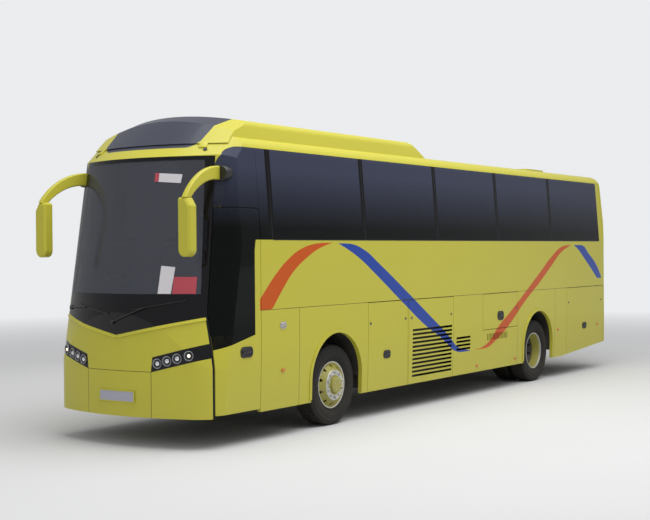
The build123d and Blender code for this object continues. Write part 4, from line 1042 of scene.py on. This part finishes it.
# %% Wipers
def wiper_bar(start, end, half, off):
    """A flat bar a little off the windscreen, between two places (y, z) on it."""
    (ya, za), (yb, zb) = start, end
    stations = []
    for k in range(7):
        place, normal = skin_ahead("windscreen", ya + (yb - ya) * k / 6, za + (zb - za) * k / 6)
        across = tangent((0, yb - ya, zb - za), normal).cross(normal)
        stations.append(stand(place + normal * off, across, normal, across.cross(normal)))
    section = [(-half, -0.006), (half, -0.006), (half * 0.7, 0.006), (-half * 0.7, 0.006)]
    return swept("wiper_bar", section, stations)


def wiper(y0, y1, z0, z1, lift=0.09):
    """An arm, a blade and a boss, from a spindle at y0 to the tip at y1."""
    arm = wiper_bar((y0, z0), ((y0 + y1) / 2, (z0 + z1) / 2 + lift), 0.010, 0.020)
    blade = wiper_bar((y0 * 0.7 + y1 * 0.3, z0 * 0.7 + z1 * 0.3 + lift), (y1, z1 + lift), 0.006, 0.010)
    boss = moved(round_cap("wiper_boss", 0.024, 0.024), facing(*skin_ahead("windscreen", y0, z0)))
    return [arm, blade, boss]


wipers = wiper(-0.05, 0.86, 1.42, 1.58) + wiper(-0.98, -0.12, 1.56, 1.42)
finished(joined("windscreen_wipers", wipers), satin_black)
print("wiper parts", len(wipers))

# %% [markdown]
# ## Cards and board on the windscreen
# A white sheet and a red card are fixed at the foot of the windscreen, and a route board at its top.
# All are left blank. They are thin sheets laid on the curve of the glass.

# %% Cards and route board
def sheet_on(name, corners):
    """A thin sheet whose corners (y, z) lie on the windscreen."""
    (y0, z0), (y1, z1), (y2, z2), (y3, z3) = corners
    bpy.ops.object.select_all(action="DESELECT")
    bpy.ops.mesh.primitive_grid_add(x_subdivisions=6, y_subdivisions=6, size=2)
    obj = named(name)
    for vertex in obj.data.vertices:
        a, b = (vertex.co.x + 1) / 2, (vertex.co.y + 1) / 2
        y = (y0 * (1 - a) + y1 * a) * (1 - b) + (y3 * (1 - a) + y2 * a) * b
        z = (z0 * (1 - a) + z1 * a) * (1 - b) + (z3 * (1 - a) + z2 * a) * b
        place, normal = skin_ahead("windscreen", y, z)
        vertex.co = place + normal * (0.0015 + 0.001 * sin(a * pi))
    return applied(obj, "SOLIDIFY", thickness=0.001)


SHEETS = [("blank_sheet", paper_white, [(0.533, 1.745), (0.685, 1.745), (0.704, 2.045), (0.541, 2.061)]),
          ("blank_card", card_red, [(0.700, 1.745), (0.949, 1.744), (0.945, 1.935), (0.700, 1.935)]),
          ("route_board", paper_white, [(0.39, 3.02), (0.66, 3.00), (0.67, 3.10), (0.39, 3.12)]),
          ("route_board_end", card_red, [(0.335, 3.025), (0.39, 3.02), (0.39, 3.12), (0.335, 3.125)])]
for name, material, corners in SHEETS:
    finished(sheet_on(name, corners), material)
print("sheets", len(SHEETS))

# %% [markdown]
# ## Number plate frames and tail lamps
# A plate sits in a thin painted frame. The tail lamps are four round lamps one above another on a red
# moulding, two red, one amber and one clear, and reflectors stand in the bumper below them.

# %% Plates and tail lamps
def plate_frame(name, x, z, s):
    rim = block(name, (-0.270, -0.066, -0.006), (0.270, 0.066, 0.008))
    edit(rim)
    pick(rim, lambda c, n: n.z > 0.9)
    bpy.ops.mesh.inset(thickness=0.010)
    bpy.ops.mesh.delete(type="FACE")
    pick(rim, lambda c, n: n.z < -0.9)
    bpy.ops.mesh.delete(type="FACE")
    leave()
    applied(rim, "SOLIDIFY", thickness=0.002)
    return moved(rim, facing((x, 0, z), (s, 0, 0)))


(TAIL_X, _, _), (NOSE_X, _, _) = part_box("number_plates")
frames = [plate_frame("plate_frame", NOSE_X - 0.006, 0.576, 1), plate_frame("plate_frame", TAIL_X + 0.009, 0.736, -1)]
finished(joined("plate_frames", frames), plain_paint)

round_lamp = round_cap("round_lamp", 0.050, 0.010, 0.004)
LAMPS = {"tail_lamps_red": (red_lens, (1.10, 1.32)), "tail_lamps_amber": (amber_lens, (1.54,)),
         "tail_lamps_clear": (lamp_glass, (1.76,))}
for name, (material, heights) in LAMPS.items():
    lamps = [copied(round_lamp, facing(*skin_behind("tail_lamps", s * 1.1025, z))) for s in (1, -1) for z in heights]
    finished(joined(name, lamps), material)
reflectors, boot_locks, eyes = [], [], []
for s in (1, -1):
    spot = facing(*skin_behind("rear_bumper", s * 0.95, 0.62))
    reflectors.append(copied(MARKER, spot @ Matrix.Diagonal((2.4, 1, 1, 1))))
    boot_locks.append(copied(LATCH, facing(*skin_behind("boot_lid", s * 0.93, 1.0)) @ Matrix.Scale(1.4, 4)))
    eyes.append(copied(LATCH, facing(*skin_ahead("front_dome", s * 0.85, 3.385)) @ Matrix.Scale(1.35, 4)))
finished(joined("rear_reflectors", reflectors), red_lens)
finished(joined("boot_locks", boot_locks), lock_zinc, "boot_lid_leaf")
finished(joined("roof_marker_lamps", eyes), satin_black)

# A painted filler closes the corner between the roof pod, the dome and the side on each side
fillers = []
for s in (1, -1):
    filler = block("filler", (-0.05, -0.045, -0.03), (0.05, 0.045, 0.0))
    soften(filler, 0.006, 2)
    fillers.append(moved(filler, facing((FRONT_X + 2.086, s * 0.800, 3.446), (0.645, s * 0.28, 0.711))))
finished(joined("pod_corner_fillers", fillers), plain_paint)
discard(MARKER, LATCH, LOCK, CAP, HANDLE, PULL, OVAL, round_lamp)
print("tail lamp groups", len(LAMPS), "fillers", len(fillers))

# %% [markdown]
# ## Passenger seats
# A coach seat is foam on a moulded shell, covered in moquette. The pads get the cloth treatment: a
# rounded block is remeshed, blown up a little by Cloth with pressure and no gravity, capped, and
# thinned again, because fifty seats stand behind dark glass. Shell and pedestal are hard.

# %% A blown-up pad
def puffed(obj, voxel, cap, frames=12, share=0.12):
    """Swell a pad with the cloth solver, no further than cap, then thin its mesh."""
    applied(obj, "REMESH", mode="VOXEL", voxel_size=voxel, use_smooth_shade=True)
    before = [v.co.copy() for v in obj.data.vertices]
    cloth = obj.modifiers.new("cloth", "CLOTH")
    cloth.settings.use_pressure = True
    cloth.settings.uniform_pressure_force = 4.0
    cloth.settings.effector_weights.gravity = 0.0
    cloth.settings.quality = 4
    cloth.point_cache.frame_end = frames
    for step in range(1, frames + 1):
        bpy.context.scene.frame_set(step)
    hold(obj)
    bpy.ops.object.modifier_apply(modifier=cloth.name)
    bpy.context.scene.frame_set(1)
    for vertex, start in zip(obj.data.vertices, before):
        run = vertex.co - start
        if run.length > cap:
            vertex.co = start + run.normalized() * cap
    applied(obj, "DECIMATE", ratio=share)
    hold(obj)
    bpy.ops.object.shade_smooth()
    return obj


def pad(name, low, high, channels):
    """A pad with sewn channels across it: a block cut by planes, each cut drawn in."""
    obj = block(name, low, high)
    applied(obj, "BEVEL", width=0.028, segments=3, limit_method="ANGLE")
    for at in channels:
        edit(obj)
        for spot in (at - 0.008, at, at + 0.008):
            bpy.ops.mesh.select_all(action="SELECT")
            bpy.ops.mesh.bisect(plane_co=(spot, 0, 0), plane_no=(1, 0, 0))
        leave()
        middle = (low[2] + high[2]) / 2
        for vertex in obj.data.vertices:
            if abs(vertex.co.x - at) < 0.001 and vertex.co.z > middle:
                vertex.co.z -= 0.012
    return obj


def reclined(height, tilt):
    """Stands a back, drawn along X, up behind a cushion at a height; tilt is how far it leans back."""
    return Matrix.Translation((-0.425, 0, height)) @ Matrix.Rotation(-(pi / 2 + tilt), 4, "Y")


# A seat at the origin: X forward from the front edge of the cushion, Z up from the saloon floor
cushion = puffed(pad("cushion", (-0.405, -0.200, 0.352), (-0.005, 0.200, 0.418), (-0.28, -0.14)), 0.014, 0.010)
back = puffed(pad("back", (0.02, -0.200, -0.062), (0.640, 0.200, -0.008), (0.16, 0.30, 0.46)), 0.014, 0.010)
lean = reclined(0.425, 0.195)
moved(back, lean)
shell = block("shell", (0.0, -0.208, -0.094), (0.655, 0.208, -0.066))
stepped(shell, (0.05, 0.010), way=-1)
moved(soften(shell, 0.012, 2), lean)
pedestal = soften(block("pedestal", (-0.290, -0.20, 0.0), (-0.070, 0.20, 0.335)), 0.015, 1)
tray = soften(block("tray", (-0.410, -0.205, 0.320), (-0.015, 0.205, 0.350)), 0.012, 1)
print("seat pads", len(cushion.data.polygons), len(back.data.polygons))

# %% Rows of seats
FLOOR_TOP = 1.6003
ROWS, FIRST_ROW, PITCH = 13, 1.33, 0.775
spots = []
for k in range(ROWS):
    for y in (0.240, -1.120):
        # The first row has seats on the left only
        if k == 0 and y < 0:
            continue
        for half in (0.220, 0.660):
            spots.append(Matrix.Translation((FRONT_X + FIRST_ROW - PITCH * k, y + half, FLOOR_TOP)))
pads = [copied(part, spot) for spot in spots for part in (cushion, back)]
hard = [copied(part, spot) for spot in spots for part in (shell, pedestal, tray)]
seat_pads = finished(joined("seat_pads", pads), seat_cloth)
seat_shells = finished(joined("seat_shells", hard), shell_grey)
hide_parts("passenger_seats")
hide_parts("passenger_seats")
print("seats", len(spots), "pad faces", len(seat_pads.data.polygons))

# %% [markdown]
# ## Driver's seat
# The driver's seat is a larger seat of the same kind, with a bellows under it. It stands in the cab,
# where the clear windscreen shows it, so its pads are finer.

# %% Driver's seat
CAB_TOP, DRIVER_X, DRIVER_Y = 1.1903, FRONT_X + 1.90, -0.640
FINER = dict(voxel=0.010, cap=0.012, share=0.3)
d_cushion = pad("driver_cushion", (-0.405, -0.225, 0.440), (-0.005, 0.225, 0.505), (-0.20,))
puffed(d_cushion, **FINER)
d_back = pad("driver_back", (0.03, -0.225, -0.075), (0.700, 0.225, -0.010), (0.20, 0.45))
puffed(d_back, **FINER)
d_lean = reclined(0.505, 0.155)
moved(d_back, d_lean)
seat_at = Matrix.Translation((DRIVER_X, DRIVER_Y, CAB_TOP))
driver_pads = joined("driver_pads", [moved(d_cushion, seat_at), moved(d_back, seat_at)])
finished(driver_pads, seat_cloth)
base = block("driver_base", (-0.390, -0.20, 0.0), (-0.090, 0.20, 0.400))
edit(base)
for z in (0.08, 0.14, 0.20, 0.26, 0.32):
    bpy.ops.mesh.select_all(action="SELECT")
    bpy.ops.mesh.bisect(plane_co=(0, 0, z), plane_no=(0, 0, 1))
leave()
for vertex in base.data.vertices:
    if any(abs(vertex.co.z - z) < 0.001 for z in (0.08, 0.20, 0.32)):
        vertex.co.x = -0.24 + (vertex.co.x + 0.24) * 0.88
        vertex.co.y *= 0.88
d_tray = soften(block("driver_tray", (-0.415, -0.225, 0.402), (-0.010, 0.225, 0.438)), 0.012, 2)
d_shell = moved(soften(block("driver_shell", (0.0, -0.225, -0.098), (0.705, 0.225, -0.079)), 0.012, 2), d_lean)
driver_hard = joined("driver_seat_base", [moved(part, seat_at) for part in (soften(base, 0.006, 1), d_tray, d_shell)])
finished(driver_hard, shell_grey)
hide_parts("driver_seat")
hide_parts("driver_seat")
discard(cushion, back, shell, pedestal, tray)
print("driver pads", len(driver_pads.data.polygons))

# %% [markdown]
# ## Studio
# A plain pale floor and backdrop stand for the street. Soft lamps from above and ahead light the
# coach as an overcast sky does. Far from the coach the floor takes the pale of the backdrop, so that no
# horizon shows behind it.

# %% Floor and light
PALE = 0.86
bpy.ops.object.select_all(action="DESELECT")
bpy.ops.mesh.primitive_plane_add(size=240, location=(0, 0, 0))
ground = named("studio_floor")
ground_finish = finish("studio_floor_grey", (0.60, 0.60, 0.60), 0.85, vary=0.02, relief=0.0, specular=0.1)
ground.data.materials.append(ground_finish)
tree = ground_finish.node_tree
distance = put(tree, "VectorMath", {0: place_of(ground_finish)}, operation="LENGTH").outputs[1]
far = put(tree, "MapRange", {"Value": distance, "From Min": 9.0, "From Max": 26.0}).outputs["Result"]
rays = put(tree, "LightPath").outputs
seen = calc(tree, "MAXIMUM", calc(tree, "MAXIMUM", rays["Is Camera Ray"], rays["Is Transmission Ray"]),
            rays["Is Glossy Ray"])
glow = put(tree, "Emission", {"Color": (0.97, 0.98, 1.0, 1), "Strength": PALE}).outputs[0]
output = tree.nodes["Material Output"]
both = put(tree, "MixShader", {0: all_of(tree, seen, far), 1: shader_of(ground_finish).outputs[0], 2: glow})
tree.links.new(both.outputs[0], output.inputs["Surface"])

world = bpy.data.worlds.new("overcast")
world.use_nodes = True
bpy.context.scene.world = world
sky = world.node_tree.nodes["Background"]
rays = put(world.node_tree, "LightPath").outputs
seen = calc(world.node_tree, "MAXIMUM", rays["Is Camera Ray"], rays["Is Transmission Ray"])
level = put(world.node_tree, "MapRange", {"Value": seen, "To Min": 0.50, "To Max": PALE}).outputs["Result"]
world.node_tree.links.new(level, sky.inputs["Strength"])
sky.inputs["Color"].default_value = (0.97, 0.98, 1.0, 1)


def lamp(name, size, power, place, target):
    light = bpy.data.lights.new(name, "AREA")
    light.size = size
    light.energy = power
    obj = bpy.data.objects.new(name, light)
    bpy.context.collection.objects.link(obj)
    aim = (Vector(target) - Vector(place)).to_track_quat("-Z", "Y").to_matrix().to_4x4()
    obj.matrix_world = Matrix.Translation(place) @ aim
    return obj


lamp("sky_above", 14, 2300, (2, 4, 13), (0, 0, 1))
lamp("sky_ahead", 9, 260, (16, 2, 7), (3, 0, 1.5)).visible_glossy = False
bpy.context.scene.view_settings.view_transform = "Standard"
print("lamps", len(bpy.data.lights))
